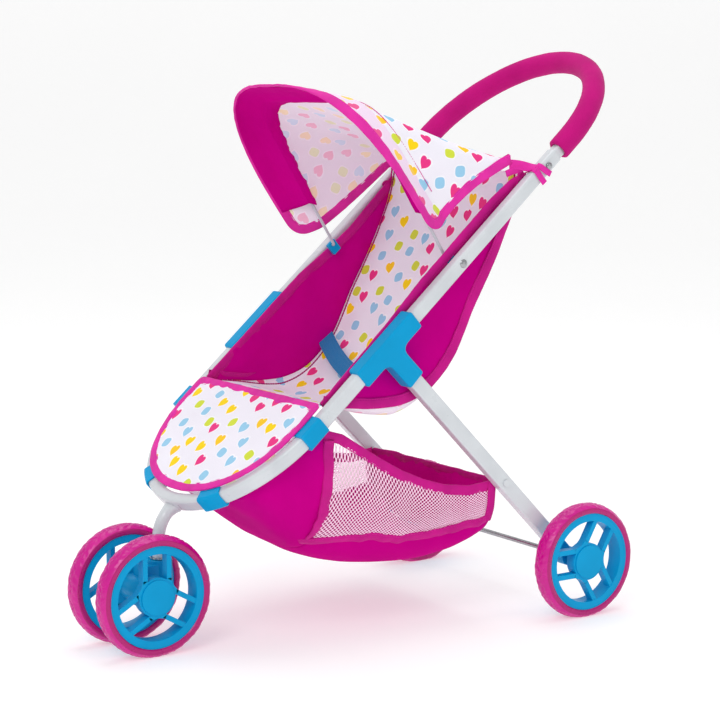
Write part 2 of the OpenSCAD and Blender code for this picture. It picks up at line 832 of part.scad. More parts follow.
// Stations from front to back: [y, half width, top z, bottom z]
front_stations = [
  [-158, 74, 147, 145], [-146, 90, 160, 133], [-128, 101, 177, 119],
  [-110, 105, 193, 105], [-90, 106, 207, 91]
];
rear_stations = [
  [-89.4, 106, 207, 90.6], [-70, 106, 203, 77], [-49, 104.5, 190, 66],
  [-25, 103, 175, 58.5], [0, 102, 161, 56], [25, 101.5, 150, 55.5],
  [50, 102, 142, 57], [78, 103.5, 138, 62], [106, 105.5, 141, 73]
];
basket_square = 3;
basket_split = 60;

// A point of the basket's U section, a = 0 at the bottom and 90 at the top edge
function basket_point(st, a) = [
  st[1] * sign(a) * pow(abs(sin(a)), 2 / basket_square),
  st[0],
  st[2] - (st[2] - st[3]) * pow(cos(a), 2 / basket_square)
];

module basket_sheet(stations, angles, t) {
  sheet([for (st = stations) [for (a = angles) basket_point(st, a)]], t);
}

module basket_front() {
  color(magenta) basket_sheet(front_stations, [-90:7.5:90], cloth);
}

module basket_floor() {
  color(magenta) basket_sheet(rear_stations, [-basket_split:5:basket_split], cloth);
}

module basket_mesh(side) {
  low = basket_split + mesh_inset;
  color([0.93, 0.72, 0.88])
    basket_sheet(rear_stations, [for (k = [0:6]) side * (low + (90 - low) * k / 6)], cloth * 0.7);
}

module basket_mesh_left() { basket_mesh(1); }
module basket_mesh_right() { basket_mesh(-1); }

rear_wall_y = 108;
rear_wall = [rear_wall_y, 106.2, 143, 73];

module basket_rear_wall() {
  outline = [for (k = [-16:16]) basket_point(rear_wall, 90 * k / 16)];
  color(magenta) difference() {
    union() {
      translate([0, rear_wall_y, 0]) rotate([90, 0, 0])
        linear_extrude(cloth) polygon([for (p = outline) [p[0], p[2]]]);
      for (side = [-1, 1]) {
        translate([side * (rear_wall[1] - 0.6) - 0.6, rear_wall_y - cloth, 128]) cube([1.2, 12, 20]);
      }
    }
    for (side = [-1, 1]) basket_screw_bore(side);
  }
}

basket_screw_d = 197;
basket_screw_in = 102.5;

module basket_screw_bore(side) {
  on_leg(side, basket_screw_d) rotate([0, side * 90, 0])
    translate([0, 0, -leg_w]) cylinder(h = 2 * leg_w, r = screw_r + gap, $fn = 32);
}

module basket_screws() {
  outer = loop_r + leg_w / 2;
  at = leg_top + basket_screw_d * [cos(leg_angle), sin(leg_angle)];
  color(steel) for (side = [-1, 1]) {
    translate([0, at[0], at[1]]) rotate([0, side * 90, 0]) {
      translate([0, 0, basket_screw_in])
        cylinder(h = outer + 0.5 - basket_screw_in, r = screw_r, $fn = 32);
      translate([0, 0, outer + 0.1]) cylinder(h = 1.6, r = 3.6);
      translate([0, 0, basket_screw_in]) cylinder(h = 1.6, r = 2.4);
    }
  }
}

module care_label() {
  color([0.95, 0.95, 0.95]) translate([-99.5, 62, 106]) cube([0.6, 26, 24]);
}

front_frame();
rail_left();
rail_right();
handle_tube();
foam_grip();
snap_button_left();
snap_button_right();
button_spring_left();
button_spring_right();
tee_left();
tee_right();
leg_left();
leg_right();
leg_foot_left();
leg_foot_right();
rear_axle();
rear_push_nuts();
rear_spacers();
tyre_rear_left();
rim_rear_left();
hub_cap_rear_left();
tyre_rear_right();
rim_rear_right();
hub_cap_rear_right();
neck_tube();
neck_plug();
swivel_pin();
swivel_washer();
caster_housing();
front_axle();
front_push_nuts();
tyre_front_left();
rim_front_left();
hub_cap_front_left();
tyre_front_right();
rim_front_right();
hub_cap_front_right();
loop_clips();
rail_clips();
canopy_clip_left();
canopy_clip_right();
canopy_screws();
canopy_bow();
canopy_visor();
visor_lining();
canopy_cover();
canopy_ties();
seat_strip();
seat_wall_left();
seat_wall_right();
lap_strap();
footrest_panel();
basket_front();
basket_floor();
basket_mesh_left();
basket_mesh_right();
basket_rear_wall();
basket_screws();
care_label();
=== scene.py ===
"""The looks of the doll stroller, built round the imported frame. Lengths are millimetres until meshed."""
import math

import bpy
import numpy as np
from mathutils import Matrix, Vector, noise


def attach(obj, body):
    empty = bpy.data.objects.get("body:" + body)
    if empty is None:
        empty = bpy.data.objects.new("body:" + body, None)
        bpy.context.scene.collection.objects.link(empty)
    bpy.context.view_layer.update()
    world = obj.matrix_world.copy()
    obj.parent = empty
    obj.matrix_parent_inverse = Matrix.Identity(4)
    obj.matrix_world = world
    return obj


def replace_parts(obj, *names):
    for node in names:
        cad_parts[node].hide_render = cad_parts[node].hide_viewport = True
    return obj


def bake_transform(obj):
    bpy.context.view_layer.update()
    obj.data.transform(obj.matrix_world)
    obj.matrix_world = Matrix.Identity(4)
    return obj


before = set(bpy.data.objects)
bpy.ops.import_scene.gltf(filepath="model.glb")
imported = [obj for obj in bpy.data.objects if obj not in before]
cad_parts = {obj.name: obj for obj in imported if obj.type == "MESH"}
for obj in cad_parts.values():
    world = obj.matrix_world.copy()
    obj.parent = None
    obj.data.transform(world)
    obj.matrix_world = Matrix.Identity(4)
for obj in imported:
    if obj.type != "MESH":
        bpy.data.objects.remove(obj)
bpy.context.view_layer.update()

MM = 0.001
TILT = math.radians(41.5)
LOOP_FRONT_Y = -188.8
LOOP_FRONT_Z = 138.0
LOOP_R = 114.0
WHEEL_R = 57.5
PIVOT = np.array([53.96, 360.12])
BOW_DIR = np.array([math.cos(math.radians(122)), math.sin(math.radians(122))])


# ---------------------------------------------------------------- small geometry


def rail_point(u, lift=0.0, x=0.0):
    """A point at distance u up the rails' plane from the front of the loop, lifted square to it."""
    return np.array([
        x,
        LOOP_FRONT_Y + u * math.cos(TILT) - lift * math.sin(TILT),
        LOOP_FRONT_Z + u * math.sin(TILT) + lift * math.cos(TILT),
    ])


RAIL_UP = np.array([0.0, math.cos(TILT), math.sin(TILT)])
RAIL_NORMAL = np.array([0.0, -math.sin(TILT), math.cos(TILT)])


def unit(v):
    """Rows of v, each brought to length 1."""
    v = np.asarray(v, float)
    return v / np.maximum(np.linalg.norm(v, axis=-1, keepdims=True), 1e-9)


def arc_lengths(points):
    """Distance along a path at each of its points."""
    steps = np.linalg.norm(np.diff(points, axis=0), axis=1)
    return np.concatenate([[0.0], np.cumsum(steps)])


def resample(points, count):
    """The path again, with count points evenly spaced along it."""
    points = np.asarray(points, float)
    along = arc_lengths(points)
    wanted = np.linspace(0, along[-1], count)
    return np.stack([np.interp(wanted, along, points[:, k]) for k in range(points.shape[1])], axis=1)


def smooth(points, rounds=2, closed=False):
    """Cuts a path's corners, which rounds them."""
    p = np.asarray(points, float)
    for _ in range(rounds):
        q = np.vstack([p, p[:1]]) if closed else p
        cut = np.empty((2 * (len(q) - 1), p.shape[1]))
        cut[0::2] = 0.75 * q[:-1] + 0.25 * q[1:]
        cut[1::2] = 0.25 * q[:-1] + 0.75 * q[1:]
        p = cut if closed else np.vstack([p[:1], cut, p[-1:]])
    return p


def curve_through(points, count):
    """A smooth path through a few points, evenly sampled."""
    p = np.asarray(points, float)
    p = np.vstack([2 * p[0] - p[1], p, 2 * p[-1] - p[-2]])
    out = []
    for i in range(1, len(p) - 2):
        for t in np.linspace(0, 1, 16, endpoint=False):
            a, b, c, d = p[i - 1], p[i], p[i + 1], p[i + 2]
            out.append(0.5 * (2 * b + (c - a) * t + (2 * a - 5 * b + 4 * c - d) * t**2
                              + (3 * b - a - 3 * c + d) * t**3))
    out.append(p[-2])
    return resample(out, count)


def grid_normals(grid):
    """Unit normal at each point of a grid of points."""
    down = np.gradient(grid, axis=0)
    across = np.gradient(grid, axis=1)
    return unit(np.cross(down, across))


def ripple(grid, amount, size, seed, stretch=(1.0, 1.0, 1.0), held=0.0):
    """Moves a grid's points along its normals by soft noise, less so within the held share of its border."""
    normals = grid_normals(grid)
    out = grid.copy()
    rows, cols = grid.shape[:2]
    for i in range(rows):
        for j in range(cols):
            p = Vector(grid[i, j] * np.array(stretch) / size) + Vector((seed, 2.3 * seed, 0))
            inside = min(i / (rows - 1), 1 - i / (rows - 1), j / (cols - 1), 1 - j / (cols - 1))
            free = min(inside / held, 1.0) if held else 1.0
            out[i, j] += normals[i, j] * amount * free * noise.noise(p)
    return out


# ---------------------------------------------------------------- meshes


def make_mesh(name, points, faces, uv=None, materials=(), slots=None):
    """A mesh object from points in millimetres. uv is one pair of metres for each point."""
    mesh = bpy.data.meshes.new(name)
    mesh.from_pydata((np.asarray(points, float) * MM).tolist(), [], faces)
    if uv is not None:
        layer = mesh.uv_layers.new(name="cloth")
        index = np.empty(len(mesh.loops), int)
        mesh.loops.foreach_get("vertex_index", index)
        layer.data.foreach_set("uv", (np.asarray(uv, float)[index]).ravel())
    for material in materials:
        mesh.materials.append(material)
    if slots is not None:
        mesh.polygons.foreach_set("material_index", slots)
    mesh.polygons.foreach_set("use_smooth", [True] * len(mesh.polygons))
    mesh.update()
    obj = bpy.data.objects.new(name, mesh)
    bpy.context.scene.collection.objects.link(obj)
    return obj


def grid_faces(rows, cols, wrap_rows=False, wrap_cols=False):
    """Quads of a grid of points, joined end to end where it wraps."""
    faces = []
    for i in range(rows if wrap_rows else rows - 1):
        for j in range(cols if wrap_cols else cols - 1):
            i2, j2 = (i + 1) % rows, (j + 1) % cols
            faces.append((i * cols + j, i2 * cols + j, i2 * cols + j2, i * cols + j2))
    return faces


def flat_uv(grid):
    """Each point's place on the cloth laid flat, in metres: across from the middle, and down."""
    rows, cols = grid.shape[:2]
    down = arc_lengths(grid[:, cols // 2])
    uv = np.empty((rows, cols, 2))
    for i in range(rows):
        across = arc_lengths(grid[i])
        uv[i, :, 0] = across - across[cols // 2]
        uv[i, :, 1] = down[i]
    return uv.reshape(-1, 2) * MM


def extrude(name, outline, place, ends, material):
    """A slab: an outline put in place at each of two depths, with its ends closed."""
    count = len(outline)
    points = [place(depth, *corner) for depth in ends for corner in outline]
    faces = [tuple(range(count)), tuple(range(2 * count - 1, count - 1, -1))]
    faces += [((k + 1) % count, k, k + count, (k + 1) % count + count) for k in range(count)]
    return make_mesh(name, points, faces, None, [material])


def cloth(name, grid, materials, thickness=0.9, uv=None):
    """A sheet of cloth with a front material and a back material."""
    rows, cols = grid.shape[:2]
    obj = make_mesh(name, grid.reshape(-1, 3), grid_faces(rows, cols),
                    flat_uv(grid) if uv is None else uv, materials)
    thicken(obj, thickness)
    return obj


def settle(obj, slot, *nodes):
    """The piece rides the frame and stands for the CAD nodes named; slot is not used."""
    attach(obj, "frame")
    if nodes:
        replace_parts(obj, *nodes)
    return obj


def declare_sheet(grid):
    """Works out how wide a sheet is cut, from the grid's widest row, and how long, from its longest column;
    nothing is done with these.
    """
    width = max(arc_lengths(row)[-1] for row in grid) * MM
    length = max(arc_lengths(grid[:, j])[-1] for j in range(grid.shape[1])) * MM


def thicken(obj, thickness):
    """Gives a sheet its thickness; its second material goes on the back."""
    solid = obj.modifiers.new("thickness", "SOLIDIFY")
    solid.thickness = thickness * MM
    solid.offset = 0
    solid.use_even_offset = False
    if len(obj.data.materials) > 1:
        solid.material_offset = 1
        solid.material_offset_rim = 0
    return obj


def sweep(name, path, across, normal, section, material, closed=False, uv_across=None):
    """Runs a closed section, in (across, normal) coordinates, along a path."""
    path, across, normal = (np.asarray(v, float) for v in (path, across, normal))
    n, k = len(path), len(section[0]) if np.ndim(section) == 3 else len(section)
    section = np.broadcast_to(np.asarray(section, float), (n, k, 2))
    points = (path[:, None] + section[:, :, :1] * across[:, None] + section[:, :, 1:] * normal[:, None])
    along = arc_lengths(path)
    uv = np.empty((n, k, 2))
    uv[:, :, 0] = along[:, None]
    uv[:, :, 1] = section[:, :, 0] if uv_across is None else uv_across(section[:, :, 0])
    faces = [f[::-1] for f in grid_faces(n, k, wrap_rows=closed, wrap_cols=True)]
    if not closed:
        faces.append(tuple(range(k)))
        faces.append(tuple(range((n - 1) * k, n * k))[::-1])
    return make_mesh(name, points.reshape(-1, 3), faces, uv.reshape(-1, 2) * MM, [material])


def path_frames(path, closed=False):
    """Unit tangents along a path."""
    if closed:
        return unit(np.roll(path, -1, axis=0) - np.roll(path, 1, axis=0))
    return unit(np.gradient(path, axis=0))


def binding(name, edge, inward, material, width=9.0, thick=2.4, closed=False, seed=1.0, pucker=1.0):
    """Bias tape folded over a cloth edge, with a sewn groove near its inner side and small puckers."""
    edge = np.asarray(edge, float)
    tangent = path_frames(edge, closed)
    inward = np.asarray(inward, float)
    inward = unit(inward - tangent * np.sum(inward * tangent, axis=1, keepdims=True))
    normal = unit(np.cross(tangent, inward))
    half = thick / 2
    w = width
    upper = [(-1.1, 0.45 * half), (-0.3, 0.9 * half), (0.3 * w, half), (0.62 * w, 0.95 * half),
             (w - 2.2, 0.75 * half), (w - 1.6, 0.5 * half), (w - 0.9, 0.68 * half), (w, 0.42 * half)]
    ring = np.array(upper + [(p, -q) for p, q in upper[::-1]])
    along = arc_lengths(edge)
    sections = np.repeat(ring[None], len(edge), axis=0)
    if closed:
        turn = 2 * math.pi * along / along[-1]
        spots = [Vector((math.cos(a), math.sin(a), seed)) * along[-1] / 6.3 for a in turn]
    else:
        spots = [Vector((a, 0, seed * 20)) for a in along]
    for i, spot in enumerate(spots):
        wide = 1 + 0.07 * pucker * noise.noise(spot / 11)
        lift = 0.5 * pucker * noise.noise(spot / 9 + Vector((9, 4, 2)))
        swell = 1 + 0.22 * pucker * noise.noise(spot / 7 + Vector((1, 7, 5)))
        sections[i, :, 0] = ring[:, 0] * wide
        sections[i, :, 1] = ring[:, 1] * swell + lift
    return sweep(name, edge, inward, normal, sections, material, closed,
                 uv_across=lambda p: width - p)


def border(grid):
    """The closed path round a grid's edge, with the way into the cloth at each point."""
    ring = np.vstack([grid[0, :-1], grid[:-1, -1], grid[-1, :0:-1], grid[:0:-1, 0]])
    into = np.vstack([
        (grid[1] - grid[0])[:-1],
        (grid[:, -2] - grid[:, -1])[:-1],
        (grid[-2] - grid[-1])[:0:-1],
        (grid[:, 1] - grid[:, 0])[:0:-1],
    ])
    return ring, unit(into)


def even_closed(path, inward, step):
    """A closed path and its inward vectors again, evenly spaced and with rounded corners."""
    both = np.hstack([path, inward * 10])
    both = np.vstack([both, both[:1]])
    along = arc_lengths(both[:, :3])
    count = int(along[-1] / step)
    wanted = np.linspace(0, along[-1], count, endpoint=False)
    out = np.stack([np.interp(wanted, along, both[:, k]) for k in range(6)], axis=1)
    for _ in range(6):
        out = 0.5 * out + 0.25 * (np.roll(out, 1, axis=0) + np.roll(out, -1, axis=0))
    return out[:, :3], unit(out[:, 3:])


# ---------------------------------------------------------------- materials


def screen(r, g, b):
    """Linear colour from screen values 0 to 255."""
    def one(c):
        """One channel."""
        c /= 255
        return c / 12.92 if c <= 0.04045 else ((c + 0.055) / 1.055) ** 2.4
    return (one(r), one(g), one(b), 1.0)


class Graph:
    """A material whose nodes are written as arithmetic."""

    def __init__(self, name, **shader):
        self.material = bpy.data.materials.new(name)
        self.material.use_nodes = True
        self.tree = self.material.node_tree
        self.tree.nodes.clear()
        self.shader = self.add("ShaderNodeBsdfPrincipled")
        out = self.add("ShaderNodeOutputMaterial")
        self.tree.links.new(self.shader.outputs[0], out.inputs[0])
        for socket, value in shader.items():
            self.put(self.shader.inputs[socket.replace("_", " ")], value)

    def add(self, kind, **settings):
        node = self.tree.nodes.new(kind)
        for key, value in settings.items():
            setattr(node, key, value)
        return node

    def put(self, socket, value):
        if isinstance(value, bpy.types.NodeSocket):
            self.tree.links.new(value, socket)
        elif isinstance(value, tuple):
            socket.default_value = value[:len(socket.default_value)]
        else:
            socket.default_value = value

    def set(self, socket, value):
        self.put(self.shader.inputs[socket], value)

    def math(self, operation, *values, clamp=False):
        node = self.add("ShaderNodeMath", operation=operation, use_clamp=clamp)
        for socket, value in zip(node.inputs, values):
            self.put(socket, value)
        return node.outputs[0]

    def vector(self, operation, *values):
        node = self.add("ShaderNodeVectorMath", operation=operation)
        for socket, value in zip(node.inputs, values):
            self.put(socket, value)
        return node.outputs[0]

    def split(self, vector):
        node = self.add("ShaderNodeSeparateXYZ")
        self.put(node.inputs[0], vector)
        return node.outputs[:3]

    def join(self, x, y, z=0.0):
        node = self.add("ShaderNodeCombineXYZ")
        for socket, value in zip(node.inputs, (x, y, z)):
            self.put(socket, value)
        return node.outputs[0]

    def uv(self):
        return self.add("ShaderNodeUVMap", uv_map="cloth").outputs[0]

    def place(self):
        return self.add("ShaderNodeTexCoord").outputs["Object"]

    def noise(self, vector, scale, detail=2.0, roughness=0.5):
        node = self.add("ShaderNodeTexNoise")
        inputs = {"Vector": vector, "Scale": scale, "Detail": detail, "Roughness": roughness}
        for socket, value in inputs.items():
            self.put(node.inputs[socket], value)
        return node.outputs["Fac"]

    def remap(self, value, low, high, to_low=0.0, to_high=1.0):
        node = self.add("ShaderNodeMapRange", clamp=True)
        for socket, number in zip(node.inputs, (value, low, high, to_low, to_high)):
            self.put(socket, number)
        return node.outputs[0]

    def mix(self, factor, a, b):
        node = self.add("ShaderNodeMix", data_type="RGBA")
        self.put(node.inputs["Factor"], factor)
        colours = [s for s in node.inputs if s.type == "RGBA"]
        self.put(colours[0], a)
        self.put(colours[1], b)
        return next(s for s in node.outputs if s.type == "RGBA")

    def steps(self, value, stops):
        """A colour picked by value, with no blending between the stops."""
        node = self.add("ShaderNodeValToRGB")
        ramp = node.color_ramp
        ramp.interpolation = "CONSTANT"
        while len(ramp.elements) < len(stops):
            ramp.elements.new(0.5)
        for element, (at, colour) in zip(ramp.elements, stops):
            element.position = at
            element.color = colour
        self.put(node.inputs[0], value)
        return node.outputs[0]

    def bump(self, height, distance, strength=1.0):
        node = self.add("ShaderNodeBump")
        self.put(node.inputs["Height"], height)
        node.inputs["Distance"].default_value = distance * MM
        node.inputs["Strength"].default_value = strength
        earlier = self.shader.inputs["Normal"].links
        if earlier:
            self.tree.links.new(earlier[0].from_socket, node.inputs["Normal"])
        self.tree.links.new(node.outputs[0], self.shader.inputs["Normal"])


def shaded(colour, factor):
    """A colour made darker or lighter."""
    return tuple(min(1.0, c * factor) for c in colour[:3]) + (1.0,)


def weave(graph, uv, pitch):
    """Height of a plain weave: threads that pass over and under each other."""
    x, y, _ = graph.split(uv)
    turn = 2 * math.pi / (pitch * MM)
    warp = graph.math("SINE", graph.math("MULTIPLY", x, turn))
    weft = graph.math("SINE", graph.math("MULTIPLY", y, turn))
    return graph.math("MULTIPLY_ADD", graph.math("MULTIPLY", warp, weft), 0.5, 0.5)


def heart(graph, x, y):
    """Below zero inside a heart about two units across."""
    cleft = graph.math("SQRT", graph.math("ABSOLUTE", x))
    up = graph.math("MULTIPLY_ADD", cleft, -0.72, graph.math("MULTIPLY", y, 1.12))
    squares = [graph.math("MULTIPLY", v, v) for v in (x, up)]
    return graph.math("SUBTRACT", graph.math("ADD", *squares), 1.0)


def pebble(graph, x, y):
    """Below zero inside a rounded square."""
    powers = [graph.math("POWER", graph.math("ABSOLUTE", v), 3.0) for v in (x, graph.math("MULTIPLY", y, 1.1))]
    return graph.math("SUBTRACT", graph.math("ADD", *powers), 0.75)


PRINT_STEP = 22.5
PRINT_HALF = 6.3


def printed(graph, uv, ground, fade):
    """A scatter of hearts and pebbles in four colours, one to a cell, turned and moved at random."""
    turned = graph.add("ShaderNodeVectorRotate", rotation_type="Z_AXIS")
    graph.put(turned.inputs["Vector"], uv)
    turned.inputs["Angle"].default_value = 0.4
    cell = graph.vector("SCALE", turned.outputs[0])
    cell.node.inputs["Scale"].default_value = 1 / (PRINT_STEP * MM)
    x, y, _ = graph.split(cell)
    row = graph.math("FLOOR", y)
    x = graph.math("MULTIPLY_ADD", graph.math("FLOORED_MODULO", row, 2.0), 0.5, x)
    column = graph.math("FLOOR", x)
    dice = graph.add("ShaderNodeTexWhiteNoise", noise_dimensions="2D")
    graph.put(dice.inputs["Vector"], graph.join(column, row))
    pick = dice.outputs["Value"]
    jitter_x, jitter_y, spin = graph.split(dice.outputs["Color"])
    local_x = graph.math("SUBTRACT", graph.math("FRACT", x), graph.math("MULTIPLY_ADD", jitter_x, 0.36, 0.32))
    local_y = graph.math("SUBTRACT", graph.math("FRACT", y), graph.math("MULTIPLY_ADD", jitter_y, 0.36, 0.32))
    angle = graph.math("MULTIPLY_ADD", spin, 0.8, -0.8)
    cosine, sine = graph.math("COSINE", angle), graph.math("SINE", angle)
    size = PRINT_STEP / PRINT_HALF
    along_x, across_x = graph.math("MULTIPLY", local_x, cosine), graph.math("MULTIPLY", local_y, sine)
    along_y, across_y = graph.math("MULTIPLY", local_x, sine), graph.math("MULTIPLY", local_y, cosine)
    turned_x, turned_y = graph.math("SUBTRACT", along_x, across_x), graph.math("ADD", along_y, across_y)
    shape_x, shape_y = graph.math("MULTIPLY", turned_x, size), graph.math("MULTIPLY", turned_y, size)
    pink, yellow, lime = screen(238, 56, 136), screen(255, 218, 20), screen(214, 226, 70)
    blue, amber = screen(156, 208, 238), screen(255, 206, 40)
    ink = graph.steps(pick, [(0, pink), (0.26, yellow), (0.42, blue), (0.68, lime), (0.88, amber)])
    white, black = (1, 1, 1, 1), (0, 0, 0, 1)
    is_pebble = graph.steps(pick, [(0, black), (0.54, white), (0.88, black)])
    inside = graph.add("ShaderNodeMix", data_type="FLOAT")
    graph.put(inside.inputs["Factor"], is_pebble)
    graph.put(inside.inputs[2], heart(graph, shape_x, shape_y))
    graph.put(inside.inputs[3], pebble(graph, shape_x, shape_y))
    field = inside.outputs[0]
    halo = graph.remap(field, 0.45, 0.75, 1.0, 0.0)
    mark = graph.remap(field, -0.08, 0.08, 1.0, 0.0)
    base = graph.mix(halo, ground, shaded(ground, 1.08))
    return graph.mix(graph.math("MULTIPLY", mark, fade), base, ink)


def finish_cloth(graph, colour, uv, pitch=0.55, shade=0.10, painted_glow=0.08):
    """Gives a cloth its colour in soft patches, its weave with painted shade in the weave's low spots, and a
    painted glow in its own colour that lifts its shaded parts.
    """
    threads = weave(graph, uv, pitch)
    broad = graph.noise(uv, 18.0, 3.0)
    lit = graph.remap(broad, 0.3, 0.7, 1 - shade, 1.0)
    # painted shade: the weave's low spots are made up to 7 percent darker
    lit = graph.math("MULTIPLY", lit, graph.remap(threads, 0.0, 1.0, 0.93, 1.0))
    darker = graph.vector("SCALE", colour)
    graph.put(darker.node.inputs["Scale"], lit)
    graph.set("Base Color", darker)
    # painted glow: the cloth emits its own colour, which lifts its shaded parts
    graph.set("Emission Color", darker)
    graph.set("Emission Strength", painted_glow)
    graph.bump(threads, 0.10, 0.5)
    graph.bump(graph.noise(uv, 60.0, 4.0), 0.35, 0.5)
    return graph.material


def cloth_material(name, colour, pitch=0.55, painted_glow=0.08, **shader):
    """Plain woven cloth of one colour."""
    settings = {"Roughness": 0.85, "Sheen_Weight": 0.04, "Sheen_Roughness": 0.5, "Specular_IOR_Level": 0.08}
    graph = Graph(name, **{**settings, **shader})
    return finish_cloth(graph, colour, graph.uv(), pitch, painted_glow=painted_glow)


def print_material(name, ground, fade, painted_glow=0.08):
    """Printed cloth; fade is how strongly the print shows."""
    graph = Graph(name, Roughness=0.8, Sheen_Weight=0.05, Sheen_Roughness=0.5, Specular_IOR_Level=0.15)
    uv = graph.uv()
    return finish_cloth(graph, printed(graph, uv, ground, fade), uv, shade=0.05, painted_glow=painted_glow)


def binding_material(name, colour):
    """Bias tape: fine rib, a row of stitches 1.6 mm from its inner side, paler on its worn outer fold."""
    graph = Graph(name, Roughness=0.65, Sheen_Weight=0.06, Sheen_Roughness=0.4, Specular_IOR_Level=0.15)
    uv = graph.uv()
    along, across, _ = graph.split(uv)
    off_row = graph.math("ABSOLUTE", graph.math("SUBTRACT", across, 1.6 * MM))
    near = graph.remap(off_row, 0.25 * MM, 0.45 * MM, 1.0, 0.0)
    dash = graph.remap(graph.math("PINGPONG", along, 1.5 * MM), 0.35 * MM, 0.5 * MM)
    stitch = graph.math("MULTIPLY", near, dash)
    rib = graph.math("SINE", graph.math("MULTIPLY", graph.math("ADD", along, across), 2 * math.pi / (0.7 * MM)))
    worn = graph.noise(uv, 40.0, 3.0)
    tone = graph.mix(graph.remap(worn, 0.35, 0.7), shaded(colour, 0.86), shaded(colour, 1.06))
    graph.set("Base Color", graph.mix(graph.math("MULTIPLY", stitch, 0.55), tone, shaded(colour, 1.35)))
    graph.bump(rib, 0.05, 0.4)
    graph.bump(stitch, 0.35, 0.8)
    graph.bump(graph.noise(uv, 120.0, 3.0), 0.4, 0.5)
    return graph.material


def enamel_material():
    """White stoved enamel on steel: faint orange peel, and slightly greyer where hands rub it."""
    graph = Graph("white_enamel", Coat_Weight=0.5, Coat_Roughness=0.12, Specular_IOR_Level=0.5)
    place = graph.place()
    patch = graph.noise(place, 25.0, 4.0)
    patchy = graph.remap(patch, 0.4, 0.75)
    graph.set("Base Color", graph.mix(patchy, screen(214, 219, 223), screen(202, 207, 212)))
    graph.set("Roughness", graph.remap(graph.noise(place, 60.0, 3.0), 0.3, 0.7, 0.26, 0.38))
    graph.bump(graph.noise(place, 500.0, 2.0), 0.06, 0.35)
    return graph.material


def plastic_material(name, colour, roughness=0.36):
    """Moulded plastic: a fine spark-eroded grain, flow patches and a soft shine."""
    graph = Graph(name, Specular_IOR_Level=0.12)
    place = graph.place()
    flow = graph.noise(place, 22.0, 3.0)
    graph.set("Base Color", graph.mix(graph.remap(flow, 0.3, 0.7), shaded(colour, 0.93), shaded(colour, 1.05)))
    rubbed = graph.noise(place, 140.0, 3.0)
    graph.set("Roughness", graph.remap(rubbed, 0.3, 0.7, roughness - 0.05, roughness + 0.08))
    graph.bump(graph.noise(place, 900.0, 2.0), 0.05, 0.35)
    return graph.material


def tyre_material():
    """Soft glossy pink tyre, with painted shade on its sidewalls."""
    graph = Graph("tyre_pink", Specular_IOR_Level=0.45)
    place = graph.place()
    # painted shade: the sidewalls get a darker copy of the tread's pink
    tread, wall = screen(212, 8, 146), screen(180, 0, 112)
    _, across, _ = graph.split(graph.uv())
    sidewall = graph.remap(graph.math("ABSOLUTE", across), 9.2 * MM, 9.6 * MM)
    cloudy = graph.noise(place, 45.0, 4.0)
    tone = graph.mix(graph.remap(cloudy, 0.3, 0.75), shaded(tread, 0.88), shaded(tread, 1.05))
    graph.set("Base Color", graph.mix(sidewall, tone, wall))
    graph.set("Roughness", graph.remap(cloudy, 0.3, 0.7, 0.2, 0.34))
    graph.bump(graph.noise(place, 700.0, 3.0), 0.05, 0.4)
    return graph.material


def foam_material():
    """Closed-cell foam with tiny open pores, with painted shade inside each pore."""
    graph = Graph("foam_magenta", Roughness=0.92, Sheen_Weight=0.08, Sheen_Roughness=0.4,
                  Specular_IOR_Level=0.1)
    place = graph.place()
    colour = screen(196, 20, 124)
    pores = graph.add("ShaderNodeTexVoronoi", feature="F1")
    graph.put(pores.inputs["Vector"], place)
    pores.inputs["Scale"].default_value = 1400.0
    pore = graph.remap(pores.outputs["Distance"], 0.1, 0.5)
    soft = graph.noise(place, 30.0, 4.0)
    tone = graph.mix(graph.remap(soft, 0.35, 0.7), shaded(colour, 0.9), shaded(colour, 1.06))
    # painted shade: each pore's middle is blended up to a quarter of the way to half brightness
    graph.set("Base Color", graph.mix(graph.remap(pore, 0.0, 1.0, 0.25, 0.0), tone, shaded(colour, 0.5)))
    graph.bump(pore, 0.15, 0.5)
    graph.bump(soft, 0.5, 0.3)
    return graph.material


def steel_material():
    """Zinc-plated steel with faint turning marks."""
    graph = Graph("zinc_steel", Metallic=1.0)
    place = graph.place()
    brushed = graph.noise(place, 90.0, 3.0)
    graph.set("Base Color", graph.mix(brushed, screen(150, 152, 156), screen(188, 189, 192)))
    graph.set("Roughness", graph.remap(graph.noise(place, 300.0, 3.0), 0.3, 0.7, 0.18, 0.36))
    graph.bump(graph.noise(place, 1500.0, 2.0), 0.03, 0.4)
    return graph.material


def webbing_material(name, colour):
    """Flat woven tape with a herringbone rib, with painted shade in its grooves and a painted highlight on its
    ridges.
    """
    graph = Graph(name, Roughness=0.7, Sheen_Weight=0.25, Sheen_Roughness=0.4, Specular_IOR_Level=0.3)
    uv = graph.uv()
    along, across, _ = graph.split(uv)
    zigzag = graph.math("ADD", along, graph.math("PINGPONG", across, 2.0 * MM))
    rib = graph.math("SINE", graph.math("MULTIPLY", zigzag, 2 * math.pi / (0.9 * MM)))
    # painted shade and highlight: the rib's grooves are darker and its ridges lighter
    tone = graph.mix(graph.remap(rib, -1.0, 1.0), shaded(colour, 0.85), shaded(colour, 1.05))
    graph.set("Base Color", tone)
    graph.bump(rib, 0.1, 0.6)
    return graph.material


PINK = screen(232, 48, 168)
DEEP_PINK = screen(206, 18, 140)
MAGENTA = screen(197, 0, 133)
SKY = screen(0, 158, 213)
BOW_GREY = screen(196, 198, 206)
